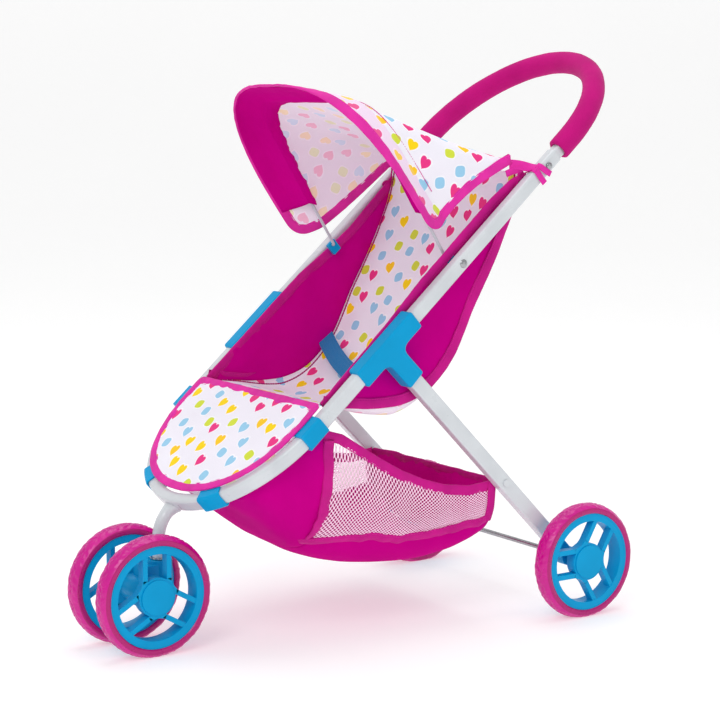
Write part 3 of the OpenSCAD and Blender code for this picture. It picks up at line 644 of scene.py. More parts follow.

# The cloths made by cloth_material and print_material below emit a painted glow in their own colour that lifts
# their shaded parts; magenta, the printed back, the net and most of all the label glow more.
MAT = {
    "print": print_material("print_cloth", screen(243, 240, 250), 1.0),
    "print_back": print_material("print_cloth_back", screen(238, 228, 240), 0.42, 0.18),
    "visor_print": print_material("print_cloth_lined", screen(244, 222, 244), 0.9),
    "magenta": cloth_material("magenta_cloth", MAGENTA, painted_glow=0.13, Sheen_Weight=0.0, Specular_IOR_Level=0.02),
    "tape": binding_material("pink_tape", PINK),
    "deep_tape": binding_material("deep_pink_tape", DEEP_PINK),
    "magenta_tape": binding_material("magenta_tape", MAGENTA),
    "enamel": enamel_material(),
    "blue": plastic_material("sky_plastic", SKY),
    "tyre": tyre_material(),
    "foam": foam_material(),
    "steel": steel_material(),
    "webbing": webbing_material("blue_webbing", screen(0, 134, 196)),
    "ribbon": cloth_material("pink_ribbon", PINK, 0.4, Roughness=0.5),
    "net": cloth_material("net_thread", screen(255, 214, 238), 0.4, painted_glow=0.15),
    "bow": plastic_material("bow_enamel", BOW_GREY, 0.3),
    "label": cloth_material("label_satin", screen(246, 250, 246), 0.3, painted_glow=0.5, Roughness=0.4),
    "thread": cloth_material("magenta_thread", screen(214, 40, 150), 0.3),
    # painted shade: this dark thread colour also stands in for the shadow along the seat's side seams
    "seam": cloth_material("seam_thread_and_shade", screen(170, 0, 108), 0.3),
}

CAD_LOOKS = {
    "enamel": ("front_frame", "rail_left", "rail_right", "handle_tube", "leg_left", "leg_right", "neck_tube",
               "neck_plug", "basket_screws"),
    "bow": ("canopy_bow",),
    "steel": ("snap_button_left", "snap_button_right", "rear_axle", "rear_push_nuts", "front_axle",
              "front_push_nuts", "swivel_pin", "swivel_washer", "canopy_screws"),
    "blue": ("leg_foot_left", "leg_foot_right", "rear_spacers", "caster_housing",
             "loop_clips", "rail_clips", "canopy_clip_left", "canopy_clip_right"),
}
BEVELS = {"blue": 0.9, "steel": 0.25, "enamel": 0.0, "bow": 0.0}


def dress_cad_nodes():
    """Gives the kept CAD nodes their materials, and breaks the sharp edges of moulded ones."""
    wheels = [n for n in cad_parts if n.startswith(("rim_", "hub_cap_"))]
    for look, names in CAD_LOOKS.items():
        for name in list(names) + (wheels if look == "blue" else []):
            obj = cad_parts[name]
            obj.data.materials.clear()
            obj.data.materials.append(MAT[look])
            if BEVELS[look]:
                weld = obj.modifiers.new("weld", "WELD")
                weld.merge_threshold = 0.01 * MM
                bevel = obj.modifiers.new("edges", "BEVEL")
                bevel.width = BEVELS[look] * MM
                bevel.segments = 3
                bevel.limit_method = "ANGLE"
                bevel.angle_limit = math.radians(40)
                bevel.use_clamp_overlap = True


# ---------------------------------------------------------------- canopy

BOW_TOP = 176.0
HEM_CROWN = np.array([-81.0, 522.0])
BOW_CROWN = PIVOT + BOW_TOP * BOW_DIR + 3.4 * np.array([0.3, 0.95])
REAR_CROWN = np.array([133.0, 450.0])
# Feet of the hem, the bow line and the rear edge on the left and on the right, where the cloth hangs lower
FEET = {"left": ((27, 385), (45, 394), (124, 448)), "right": ((19, 368), (42, 378), (137, 446))}
HEM_HALF = 126.0
BOW_HALF = 104.2
CANOPY_COLS = 121
VISOR_ROWS = 15
COVER_ROWS = 35


def arch(foot_left, foot_right, crown, half, squareness, tuck=0.0):
    """A squarish half ring from the left foot over the crown to the right foot."""
    w = np.linspace(0, 1, 400) ** 3
    angle = np.concatenate([w, 2 - w[-2::-1]]) * math.pi / 2
    c, s = np.cos(angle), np.abs(np.sin(angle))
    f = s ** (2 / squareness)
    x = half * np.sign(c) * np.abs(c) ** (2 / squareness) * (1 - tuck * (1 - f) ** 2)
    feet = np.where((c > 0)[:, None], np.array(foot_left, float), np.array(foot_right, float))
    yz = feet + f[:, None] * (np.array(crown) - feet)
    return resample(np.column_stack([x, yz]), CANOPY_COLS)


def between(a, b, t):
    """The point a share t of the way from a to b."""
    return np.asarray(a, float) * (1 - t) + np.asarray(b, float) * t


def visor_row(t):
    """The visor's arch a share t of the way from the hem back to the bow."""
    left, right = (between(FEET[s][0], FEET[s][1], t) for s in ("left", "right"))
    crown = between(HEM_CROWN, BOW_CROWN, t)
    return arch(left, right, crown, HEM_HALF + t * (BOW_HALF - HEM_HALF), 3 + 2.5 * t, 0.1 * (1 - t))


def cover_row(t):
    """The cover's arch a share t of the way from the bow back to the rear edge."""
    lift = math.sin(math.pi * t**0.8)
    left = between(FEET["left"][1], FEET["left"][2], t) + [0, 7 * lift]
    right = between(FEET["right"][1], FEET["right"][2], t) - [0, 3 * lift]
    crown = between(BOW_CROWN, REAR_CROWN, t) - [0, 3.0 * math.sin(math.pi * t)]
    return arch(left, right, crown, BOW_HALF, 5.5 - 2 * t)


def canopy_grid():
    """The canopy's surface, row by row from its hem to its rear edge."""
    visor = [visor_row(t) for t in np.linspace(0, 1, VISOR_ROWS)]
    cover = [cover_row(t) for t in np.linspace(0, 1, COVER_ROWS)[1:]]
    return np.array(visor + cover)


CORNER_R = 15.0


def sample(grid, i, j):
    """The grid's surface at fractional row i and column j."""
    rows, cols = grid.shape[:2]
    i, j = min(max(i, 0), rows - 1), min(max(j, 0), cols - 1)
    i0, j0 = min(int(i), rows - 2), min(int(j), cols - 2)
    s, t = i - i0, j - j0
    near = between(grid[i0, j0], grid[i0 + 1, j0], s)
    far = between(grid[i0, j0 + 1], grid[i0 + 1, j0 + 1], s)
    return between(near, far, t)


def round_front_corners(grid):
    """The cloth with its two front corners cut round: points near a corner slide inward along the cloth."""
    out = grid.copy()
    cols = grid.shape[1]
    for flip in (False, True):
        side = grid[:, ::-1] if flip else grid
        goal = out[:, ::-1] if flip else out
        step_j = np.linalg.norm(side[0, 1] - side[0, 0])
        down = arc_lengths(side[:, 0])
        for i in range(side.shape[0]):
            for j in range(cols):
                a, b = (CORNER_R - j * step_j) / CORNER_R, (CORNER_R - down[i]) / CORNER_R
                if a <= 0 or b <= 0:
                    continue
                pull = max(a, b) / math.hypot(a, b)
                wanted = CORNER_R * (1 - b * pull)
                goal[i, j] = sample(side, np.interp(wanted, down, np.arange(len(down))),
                                    CORNER_R * (1 - a * pull) / step_j)
    return out


def follow_fold(obj):
    """Bakes the piece's placement into its mesh."""
    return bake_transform(obj)


def canopy_uv(grid):
    """Places on the canopy's cloth, in metres: back from the hem, and up each side to the ridge."""
    back = unit(REAR_CROWN - HEM_CROWN)
    down = np.array([back[1], -back[0]])
    offset = grid[:, :, 1:] - HEM_CROWN
    fall = np.maximum(offset @ down, 0)
    across = np.sign(grid[:, :, 0]) * (np.abs(grid[:, :, 0]) + fall)
    return np.stack([offset @ back, -across], axis=2).reshape(-1, 2) * MM


def make_canopy():
    """The canopy: one curved cloth bound all round, with a seam behind the bow."""
    grid = canopy_grid()
    grid[VISOR_ROWS:] = ripple(grid, 2.4, 42, 3.0, (1, 0.5, 0.5))[VISOR_ROWS:]
    grid = round_front_corners(grid)
    rows, cols = grid.shape[:2]
    slots = [2 if i < VISOR_ROWS - 1 else 0 for i in range(rows - 1) for _ in range(cols - 1)]
    fabric = make_mesh("canopy_fabric", grid.reshape(-1, 3), grid_faces(rows, cols), canopy_uv(grid),
                       [MAT["print"], MAT["print_back"], MAT["visor_print"], MAT["print_back"]], slots)
    thicken(fabric, 0.9)
    follow_fold(fabric)
    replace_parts(fabric, "canopy_visor", "canopy_cover")
    ring, into = even_closed(*border(grid), 1.6)
    hem = binding("canopy_hem", ring, into, MAT["tape"], width=9.0, closed=True, seed=4)
    seam_row = cover_row(0.05)[8:-8] + [0, 0.35, 0.5]
    seam = thread("bow_seam_stitch", resample(seam_row, 300), MAT["thread"])
    for piece in (hem, seam):
        follow_fold(piece)
    declare_sheet(grid)


def thread(name, path, material, radius=0.45):
    """A line of stitching: a thin cord that swells at every stitch."""
    tangent = path_frames(path)
    across = unit(np.cross(tangent, [0.3, 0.2, 0.93]))
    normal = unit(np.cross(tangent, across))
    along = arc_lengths(path)
    ring = np.array([(math.cos(a), math.sin(a)) for a in np.linspace(0, 2 * math.pi, 7)[:-1]])
    swell = radius * (0.45 + 0.55 * np.abs(np.sin(math.pi * along / 2.8)))
    return sweep(name, path, across, normal, ring[None] * swell[:, None, None], material)


BOW_LEG = 136.0
BOW_X = 96.5
BOW_CORNER = 40.0
LINING_CLEAR = 3.4
LINING_END = 50.0


def inside_bow(count):
    """The path just inside the bow wire, from its left leg over the top to its right leg."""
    r = BOW_CORNER - LINING_CLEAR
    x = BOW_X - LINING_CLEAR
    arc = [(x - r + r * math.cos(a), BOW_LEG + r * math.sin(a)) for a in np.linspace(0, math.pi / 2, 24)]
    half = [(x, LINING_END)] + arc
    path = half + [(-px, h) for px, h in half[::-1]]
    return resample([(px, *(PIVOT + h * BOW_DIR)) for px, h in path], count)


def make_visor_lining():
    """The visor's lining: from the hem to a sleeve round the bow wire, short of the lower corners."""
    trim, count = 7, CANOPY_COLS - 14
    wire = inside_bow(count)
    middle = np.array([0.0, 10.0, 440.0])
    forward = np.array([0.0, *unit(HEM_CROWN - BOW_CROWN)])
    rows = []
    for t in np.linspace(0.02, 0.86, 20):
        row = visor_row(t)[trim:-trim]
        inward = unit(middle - row)
        inward[:, 1] *= 0.3
        near_wire = np.clip((t - 0.5) / 0.36, 0, 1) ** 1.8
        rows.append(between(row + 1.6 * unit(inward), wire + 6.0 * forward, near_wire))
    for ahead in (3.0, 0.0, -3.0):
        rows.append(wire + ahead * forward)
    for t, share in ((0.05, 0.7), (0.066, 0.3), (0.078, 0.0)):
        row = cover_row(t)[trim:-trim]
        inward = unit(middle - row)
        wave = np.array([0.9 * math.sin(k * 0.9) + 0.6 * math.sin(k * 2.3) for k in range(count)])
        back = row + 1.2 * inward
        back[:, 1] += wave * (1 - share) * 1.2
        rows.append(between(back, wire - 5.5 * forward, share))
    lining = ripple(np.array(rows), 0.7, 20, 6.0)
    obj = cloth("visor_lining_cloth", lining, [MAT["magenta"]], 0.6)
    follow_fold(obj)
    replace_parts(obj, "visor_lining")
    declare_sheet(lining)


# ---------------------------------------------------------------- seat

SEAT_LINE = [
    (134, 440), (127, 406), (116, 380), (104, 355), (91, 332), (79, 311), (69, 290), (58, 269),
    (43, 249), (28, 233), (12, 222), (-6, 216), (-24, 217), (-42, 221), (-60, 226), (-91, 232),
]
SEAT_HALF = 104.4
WALL_X = 104.2


def seam_rise(count):
    """How far the side seams stand above the seat's line: most where the strip bulges below them."""
    fall = np.linspace(0, 1, count)
    return 10.0 * np.exp(-((fall - 0.76) / 0.12) ** 2)[:, None]


def make_seat_strip():
    """The printed strip of the back and the seat, sagging between its side seams."""
    rows, cols = 90, 61
    line = curve_through([(0, y, z) for y, z in SEAT_LINE], rows)
    tangent = path_frames(line)
    normal = np.stack([np.zeros(rows), tangent[:, 2], -tangent[:, 1]], axis=1)
    grid = np.empty((rows, cols, 3))
    ends = np.sin(np.linspace(0, math.pi, rows))[:, None] ** 0.5
    for j, s in enumerate(np.linspace(-1, 1, cols)):
        grid[:, j] = line + normal * (-3.5 * (1 - s * s) * ends + seam_rise(rows) * abs(s) ** 24)
        grid[:, j, 0] = s * SEAT_HALF
    grid = ripple(grid, 2.0, 40, 8.0, held=0.04)
    obj = cloth("seat_fabric", grid, [MAT["print"], MAT["print_back"]], uv=flat_uv(grid) * [1, -1])
    settle(obj, "printed_fabric", "seat_strip")
    seams = []
    # The seam cords are real raised seams, coloured a dark magenta as painted shade along the seams' puckered
    # line.
    for j in (1, -2):
        path = resample(grid[:, j] + normal * 0.9, 320)
        seams.append(thread(f"seat_seam_{'right' if j == 1 else 'left'}", path, MAT["seam"], 0.9))
        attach(seams[-1], "frame")
    declare_sheet(grid)
    return line


def wall_top_lift(side, u):
    """How far the wall's upper edge stands above the rails' centre plane."""
    if side > 0:
        return float(np.interp(u, [150, 230, 290, 400, 430, 446], [8.0, 10.0, 13.5, 14.5, 12.0, 6.0]))
    return float(np.interp(u, [150, 282, 327, 358, 422, 446], [8.0, 8.0, 3.0, 1.0, 4.0, 6.0]))


def make_seat_wall(side, line):
    """One side wall, from the rail down to the seat's edge, with tape along both."""
    name = "left" if side > 0 else "right"
    tangent = path_frames(line)
    normal = np.stack([np.zeros(len(line)), tangent[:, 2], -tangent[:, 1]], axis=1)
    low = (line + normal * seam_rise(len(line)))[::-1]
    rows, cols = 22, len(low)
    top_u = np.linspace(136, 446, cols)
    top = np.array([rail_point(u, wall_top_lift(side, u)) for u in top_u])
    grid = np.empty((rows, cols, 3))
    for i, t in enumerate(np.linspace(0, 1, rows)):
        grid[i] = between(top, low, t)
        belly = 3.0 * math.sin(math.pi * t) * np.sin(np.linspace(0, math.pi, cols)) ** 0.7
        grid[i, :, 0] = side * (WALL_X + 0.4 - 0.9 * belly * (0.5 + 0.5 * side))
    grid = ripple(grid, 1.8, 30, 11.0 + side, held=0.04)
    obj = cloth(f"seat_side_{name}", grid if side < 0 else grid[::-1], [MAT["magenta"]], 0.9)
    settle(obj, "magenta_fabric", f"seat_wall_{name}")
    declare_sheet(grid)
    edge = resample(grid[0], 240)
    rail_tape = binding(f"rail_tape_{name}", edge, np.repeat([-RAIL_NORMAL], 240, axis=0), MAT["deep_tape"],
                        width=8.5, seed=20 + side)
    seam = resample(grid[-1], 300) + [side * 1.2, 0, 0]
    inward = resample(grid[-3], 300) - seam + [side * 1.2, 0, 0]
    seam_tape = binding(f"seam_tape_{name}", seam, inward, MAT["deep_tape"], width=9.0, thick=1.6,
                        seed=30 + side)
    for tape in (rail_tape, seam_tape):
        settle(tape, "pink_binding")


STRAP_MIDDLE = np.array([22.0, 236.0])
STRAP_SIDE = np.array([48.0, 264.0])
STRAP_HALF = 10.0
STRAP_THICK = 0.75


def make_lap_strap():
    """A webbing strap that hangs across the seat from wall to wall."""
    count = 61
    s = np.linspace(-1, 1, count)
    yz = STRAP_MIDDLE + (STRAP_SIDE - STRAP_MIDDLE) * (np.abs(s) ** 1.5)[:, None]
    path = np.column_stack([s * (SEAT_HALF - 0.4), yz])
    across = np.repeat([[0.0, 0.81, 0.586]], count, axis=0)
    tangent = path_frames(path)
    normal = unit(np.cross(tangent, across))
    half, thick = STRAP_HALF, STRAP_THICK
    section = [(-half, -0.3), (-half, 0.3), (-half + 0.6, thick), (0, thick + 0.15), (half - 0.6, thick),
               (half, 0.3), (half, -0.3), (half - 0.6, -thick), (0, -thick + 0.15), (-half + 0.6, -thick)]
    obj = sweep("lap_webbing", path, across, normal, section, MAT["webbing"])
    settle(obj, "blue_webbing", "lap_strap")


# ---------------------------------------------------------------- footrest

FOOT_LIFT = 9.8
FOOT_HALF = 109.0
FOOT_FRONT = 7.5
FOOT_BACK = 133.0
FOOT_CENTRE_U = 82.0


def footrest_outline(scale=1.0):
    """The panel's closed outline: a squarish half ring in front, straight at the back."""
    w = np.linspace(0, 1, 120) ** 1.5
    angle = np.concatenate([w, 2 - w[-2::-1]]) * math.pi / 2
    power = 2 / 2.25
    x = FOOT_HALF * np.sign(np.cos(angle)) * np.abs(np.cos(angle)) ** power
    u = LOOP_R - (LOOP_R - FOOT_FRONT) * np.abs(np.sin(angle)) ** power
    ring = [(FOOT_HALF, FOOT_BACK)] + list(zip(x, u)) + [(-FOOT_HALF, FOOT_BACK)]
    return np.array(ring) * [scale, 1]


def make_footrest():
    """The printed panel over the front loop, crowned a little, with tape all round."""
    outline = footrest_outline()
    closed = np.vstack([outline, outline[:1]])
    ring2 = resample(closed, 181)[:-1]
    centre = np.array([0.0, FOOT_CENTRE_U])
    rings = 24
    grid = np.empty((rings, len(ring2), 3))
    for i, t in enumerate(np.linspace(1, 0.02, rings)):
        flat = centre + (ring2 - centre) * t
        lift = FOOT_LIFT + 2.5 * (1 - t * t)
        for j, (x, u) in enumerate(flat):
            wave = 1.2 * noise.noise(Vector((x / 28, u / 28, 5))) * (1 - t) ** 0.5
            grid[i, j] = rail_point(u, lift + wave, x)
    points = np.vstack([grid.reshape(-1, 3), rail_point(centre[1], FOOT_LIFT + 2.5)])
    faces = grid_faces(rings, len(ring2), wrap_cols=True)
    last, cols = (rings - 1) * len(ring2), len(ring2)
    faces += [(last + j, len(points) - 1, last + (j + 1) % cols) for j in range(cols)]
    flat_xy = np.array([[p[0], (p[1] - LOOP_FRONT_Y) / math.cos(TILT)] for p in points]) * MM
    obj = make_mesh("footrest_cloth", points, faces, flat_xy, [MAT["print"], MAT["print_back"]])
    thicken(obj, 0.9)
    settle(obj, "printed_fabric", "footrest_panel")
    edge = np.array([rail_point(u, FOOT_LIFT, x) for x, u in ring2])
    into = np.array([rail_point(FOOT_CENTRE_U, FOOT_LIFT, 0)]) - edge
    edge, into = even_closed(edge, unit(into), 2.0)
    tape = binding("footrest_tape", edge, into, MAT["tape"], width=9.0, closed=True, seed=41)
    settle(tape, "pink_binding")
    make_footrest_skirt()


def make_footrest_skirt():
    """The turned-under margin of the footrest: it drops from the tape to the inside of the loop."""
    outline = resample(footrest_outline()[1:-1], 140)
    rows = 6
    grid = np.empty((rows, 140, 3))
    for i, t in enumerate(np.linspace(0, 1, rows)):
        for j, (x, u) in enumerate(outline):
            pull = 1 - 0.055 * t - 0.01 * math.sin(math.pi * t)
            grid[i, j] = rail_point(LOOP_R + (u - LOOP_R) * pull, FOOT_LIFT - 1.6 - 9.5 * t, x * pull)
    obj = cloth("footrest_margin", grid, [MAT["print_back"]], 0.7)
    settle(obj, "printed_fabric")
    return obj


# ---------------------------------------------------------------- basket

BASKET = [
    (-158, 74, 153, 144), (-146, 90, 166, 132), (-128, 100, 183, 117), (-110, 104.5, 199, 102),
    (-90, 106, 209, 88), (-70, 106, 203, 77), (-49, 104.5, 190, 69.5), (-25, 103, 175, 63.5),
    (0, 102, 161, 60), (25, 101.5, 150, 57.5), (50, 102, 142, 58), (78, 103.5, 138, 62), (106, 105.5, 141, 73),
]
MESH_FRONT_Y = -84.0


def basket_station(y):
    """The basket's half width, top and bottom at y."""
    ys = [s[0] for s in BASKET]
    return [float(np.interp(y, ys, [s[k] for s in BASKET])) for k in (1, 2, 3)]


def basket_point(y, angle):
    """A point of the basket's section at y; angle is 0 at the bottom and 90 at the top edge, in degrees."""
    half, top, low = basket_station(y)
    a = math.radians(angle)
    x = half * math.copysign(abs(math.sin(a)) ** (2 / 3), a)
    z = top - (top - low) * max(math.cos(a), 0) ** (2 / 3)
    return np.array([x, y, z])


def make_basket():
    """The basket's solid cloth: a bucket in front, and a floor that turns up to the nets behind."""
    cols = 61
    front = list(np.linspace(BASKET[0][0], MESH_FRONT_Y - 0.5, 26))
    rear = front[-1:] + list(np.linspace(MESH_FRONT_Y + 0.5, BASKET[-1][0], 54))
    for part, stations in (("bucket", front), ("floor", rear)):
        reach = [90.0 if part == "bucket" else net_foot(y) + 1.5 for y in stations]
        grid = smooth_grid(np.array([[basket_point(y, angle * s) for s in np.linspace(-1, 1, cols)]
                                     for y, angle in zip(stations, reach)]))
        grid = ripple(grid, 2.6, 38, 15.0, (1, 0.6, 1), held=0.06)
        obj = cloth(f"basket_{part}_cloth", grid[:, ::-1], [MAT["magenta"]], 0.9)
        settle(obj, "magenta_fabric", "basket_front" if part == "bucket" else "basket_floor")
        declare_sheet(grid)


def smooth_grid(grid):
    """Softens the kinks between stations, without moving the edges."""
    out = grid.copy()
    for _ in range(3):
        out[1:-1] = 0.5 * out[1:-1] + 0.25 * (out[:-2] + out[2:])
    return out


NET_PITCH = 3.9
NET_HOLE = 0.63


def net_foot(y):
    """The angle round the basket's section at which the net's lower edge lies."""
    z = float(np.interp(y, [-90, -60, -30, -2, 32, 66, 106], [99, 102, 101, 95, 95, 98, 103]))
    _, top, low = basket_station(y)
    return math.degrees(math.acos(min(((top - z) / (top - low)) ** 1.5, 1.0)))


def side_point(side, y, angle):
    """A point of the basket's section on the side asked for."""
    p = basket_point(y, angle)
    p[0] *= side
    return p


def make_net(side):
    """Knitted mesh with real round holes, on the side of the basket."""
    name = "left" if side > 0 else "right"
    dense_y = np.linspace(MESH_FRONT_Y, 104.0, 60)
    dense_a = np.linspace(0, 1, 30)
    surface = np.array([[side_point(side, y, between(net_foot(y), 89.5, t)) for t in dense_a]
                        for y in dense_y])
    surface[:, :, 0] += side * 0.2
    surface = ripple(surface, 2.6, 26, 52.0 + side, held=0.15)
    height = np.mean([arc_lengths(row)[-1] for row in surface])
    length = arc_lengths(surface[:, 15])[-1]
    nx, ny = int(length / NET_PITCH), int(height / NET_PITCH)

    def at(p, q):
        """The surface at p along and q up, both in cells."""
        fi = min(max(p / nx, 0), 1) * (len(dense_y) - 1)
        fj = min(max(q / ny, 0), 1) * (len(dense_a) - 1)
        i, j = min(int(fi), len(dense_y) - 2), min(int(fj), len(dense_a) - 2)
        s, t = fi - i, fj - j
        low = between(surface[i, j], surface[i + 1, j], s)
        high = between(surface[i, j + 1], surface[i + 1, j + 1], s)
        return between(low, high, t)

    points, uv, faces, known = [], [], [], {}

    def add(p, q):
        key = (round(p, 4), round(q, 4))
        if key not in known:
            known[key] = len(points)
            points.append(at(p, q))
            uv.append((p * NET_PITCH * MM, q * NET_PITCH * MM))
        return known[key]

    corners = [(-1, 0), (-0.5, -0.5), (0, -1), (0.5, -0.5), (1, 0), (0.5, 0.5), (0, 1), (-0.5, 0.5)]
    for i in range(nx + 1):
        for j in range(2 * ny + 1):
            p, q = i + (0.5 if j % 2 else 0.0), j * 0.5
            if not (0.5 <= p <= nx - 0.5 and 0.5 <= q <= ny - 0.5):
                continue
            outer = [add(p + 0.5 * a, q + 0.5 * b) for a, b in corners]
            inner = []
            for k in range(8):
                turn = math.pi + k * math.pi / 4
                inner.append(add(p + 0.5 * NET_HOLE * math.cos(turn), q + 0.5 * NET_HOLE * math.sin(turn)))
            for k in range(8):
                faces.append((outer[k], outer[(k + 1) % 8], inner[(k + 1) % 8], inner[k]))
    obj = make_mesh(f"basket_net_{name}", points, faces, uv, [MAT["net"]])
    thicken(obj, 0.65)
    settle(obj, "mesh", f"basket_mesh_{name}")
    declare_sheet(surface)


def make_basket_tapes(side):
    """Tape along the basket's rim, round the mesh panel and up its rear corner."""
    name = "left" if side > 0 else "right"
    rim_y = np.linspace(MESH_FRONT_Y - 8, 106, 150)
    rim = np.array([side_point(side, y, 90) for y in rim_y])
    down = np.array([side_point(side, y, 84) for y in rim_y]) - rim
    tapes = [binding(f"basket_rim_tape_{name}", rim, down, MAT["deep_tape"], width=8.5, seed=60 + side,
                     pucker=1.2)]
    out = np.array([side * 1.0, 0, -0.5])
    front_a = np.linspace(89, net_foot(MESH_FRONT_Y) - 3, 90)
    front = np.array([side_point(side, MESH_FRONT_Y - 5, a) for a in front_a])
    front[:, 1] += [1.6 * noise.noise(Vector((0.11 * k, side, 7))) for k in range(90)]
    tapes.append(binding(f"basket_front_tape_{name}", front + out, np.repeat([[0, 1.0, 0]], 90, axis=0),
                         MAT["deep_tape"], width=9.5, seed=64 + side, pucker=1.6))
    low_y = np.linspace(MESH_FRONT_Y - 6, 106, 150)
    low = np.array([side_point(side, y, net_foot(y) - 2.5) for y in low_y])
    low[:, 2] += [1.8 * noise.noise(Vector((0.09 * k, side, 3))) for k in range(150)]
    up = np.array([side_point(side, y, net_foot(y) + 4) for y in low_y]) - low
    tapes.append(binding(f"basket_low_tape_{name}", low + out, up, MAT["deep_tape"], width=7.5,
                         seed=68 + side, pucker=1.8))
    rear_a = np.linspace(net_foot(104) - 2, 90, 60)
    rear = np.array([side_point(side, 106, a) for a in rear_a])
    tapes.append(binding(f"basket_rear_tape_{name}", rear + out + [0, 1, 0],
                         np.repeat([[0, -1.0, 0]], 60, axis=0), MAT["deep_tape"], width=7.5, seed=72 + side))
    for tape in tapes:
        settle(tape, "pink_binding")


REAR_HALF = 105.8
REAR_TOP = 143.0
REAR_LOW = 73.0
REAR_Y = 107.4


def make_basket_rear():
    """The rear wall, which hangs between the two legs and sags a little along its top."""
    rows, cols = 20, 61
    grid = np.empty((rows, cols, 3))
    for j, s in enumerate(np.linspace(-1, 1, cols)):
        a = math.radians(90 * s)
        x = REAR_HALF * math.copysign(abs(math.sin(a)) ** (2 / 3), a)
        bottom = REAR_TOP - (REAR_TOP - REAR_LOW) * max(math.cos(a), 0) ** (2 / 3)
        rim = REAR_TOP - 0.4 - 4.6 * s**4 + 1.2 * noise.noise(Vector((4.5 * s, 3, 1)))
        for i, t in enumerate(np.linspace(0, 1, rows)):
            grid[i, j] = (x, REAR_Y - 2.0 * math.sin(math.pi * t) * (1 - s * s), rim + (bottom - rim) * t)
    grid = ripple(grid, 1.6, 22, 81.0)
    obj = cloth("basket_rear_cloth", grid[:, ::-1], [MAT["magenta"]], 0.9)
    settle(obj, "magenta_fabric", "basket_rear_wall")
    declare_sheet(grid)
    edge = resample(grid[0], 110)
    tape = binding("basket_rear_top_tape", edge, np.repeat([[0, 0, -1.0]], 110, axis=0), MAT["magenta_tape"],
                   width=8.0, seed=84, pucker=1.6)
    settle(tape, "pink_binding")


def make_label():
    """A blank care label on the inside of the far net."""
    grid = np.array([[(-99.5 + 0.02 * (z - 118), y, z) for y in np.linspace(62, 88, 10)]
                     for z in np.linspace(106, 130, 10)])
    grid = ripple(grid, 0.8, 9, 90.0)
    obj = cloth("blank_label", grid, [MAT["label"]], 0.4)
    settle(obj, "label", "care_label")
    declare_sheet(grid)


# ---------------------------------------------------------------- ties


def ribbon(name, path, across, width):
    """A flat ribbon along a path, its width lying across it."""
    path = resample(smooth(path, 3), 40)
    across = np.array([across] * len(path), float)
    tangent = path_frames(path)
    across = unit(across - tangent * np.sum(across * tangent, axis=1, keepdims=True))
    normal = unit(np.cross(tangent, across))
    half = width / 2
    upper = [(-half, 0), (-half + 0.3, 0.3), (half - 0.3, 0.3)]
    section = upper + [(-p, -q) for p, q in upper]
    obj = sweep(name, path, across, normal, section, MAT["ribbon"])
    settle(obj, "pink_binding")
    return obj


def make_ties(side):
    """A ribbon from the canopy's rear corner over the rail, with two flat tails down the rail's outer face."""
    name = "left" if side > 0 else "right"

    def at(x, u, lift):
        """A point by the rail on this side."""
        return rail_point(u, lift, side * x)

    over_rail = [at(103, 439, 24), at(106, 446, 17), at(111, 451, 9.2), at(116, 452, 8.0), at(120, 453, 7.4)]
    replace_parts(ribbon(f"tie_strap_{name}", over_rail, RAIL_UP, 10.0), "canopy_ties")
    ribbon(f"tie_tail_a_{name}", [at(118, 450, 8.3), at(121.0, 449.6, 6.6), at(121.3, 449, 0),
                                  at(121.9, 448.6, -8.5)], RAIL_UP, 6.5)
    ribbon(f"tie_tail_b_{name}", [at(117, 455.5, 8.5), at(121.0, 456, 6.4), at(121.4, 457.2, 0),
                                  at(122.4, 459.5, -6.5)], RAIL_UP, 6.2)
    ribbon(f"tie_fold_{name}", [at(103.5, 430, 20), at(105, 438, 17), at(108, 446, 12)], RAIL_NORMAL, 7.0)
    knot = resample([at(108, 438, 9), at(111, 443, 9.4), at(116, 449, 8.0)], 30)
    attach(thread(f"tie_thread_{name}", knot, MAT["seam"], 0.8), "frame")


# ---------------------------------------------------------------- frame

FOAM_BEND_U = 501.5
FOAM_START_U = 486.0
FOAM_R = 11.5
FOAM_BORE = 7.2
TEE_U = 216.0
TEE_HALF = 40.0
TEE_DEEP = 9.7
TEE_WIDE = 8.7
SOCKET_LEN = 44.0
SOCKET_HALF = 10.2
LEG_FOOT = np.array([192.5, 57.5])
TEE_FILLET = 9.0
SPRING_U = 438.0
LEAF_WIDE = 5.0
NECK_CENTRE = np.array([0.0, -170.0, 103.0])
NECK_BEND_R = 35.0


def make_foam_grip():
    """The foam sleeve round the handle: a soft tube with rolled ends, not quite even along its length."""
    ends = [[rail_point(u, 0, x) for u in np.linspace(FOAM_START_U, FOAM_BEND_U, 8)] for x in (LOOP_R, -LOOP_R)]
    bend = [rail_point(FOAM_BEND_U + LOOP_R * math.sin(a), 0, LOOP_R * math.cos(a))
            for a in np.linspace(0, math.pi, 121)]
    path = resample(ends[0][:-1] + bend + ends[1][-2::-1], 260)
    tangent = path_frames(path)
    across = unit(np.cross(tangent, RAIL_NORMAL))
    along = arc_lengths(path)
    from_end = np.minimum(along, along[-1] - along)
    roll = np.sqrt(np.maximum(1 - np.clip(1 - from_end / 2.2, 0, 1) ** 2, 0))
    turns = np.linspace(0, 2 * math.pi, 33)[:-1]
    rows = []
    for k, centre in enumerate(path):
        radius = FOAM_R - 1.8 * (1 - roll[k])
        ring = []
        for a in turns:
            out = math.cos(a) * across[k] + math.sin(a) * RAIL_NORMAL
            spot = centre + radius * out
            uneven = 0.22 * noise.noise(Vector(spot / 16)) + 0.10 * noise.noise(Vector(spot / 5))
            ring.append(centre + (radius + uneven - 0.25) * out)
        rows.append(ring)
    for centre, sideways in zip(path[::-1], across[::-1]):
        rows.append([centre + FOAM_BORE * (math.cos(a) * sideways + math.sin(a) * RAIL_NORMAL) for a in turns])
    rows = np.array(rows)
    n, m = rows.shape[:2]
    obj = make_mesh("foam_sleeve", rows.reshape(-1, 3), grid_faces(n, m, wrap_rows=True, wrap_cols=True), None,
                    [MAT["foam"]])
    settle(obj, "foam", "foam_grip")


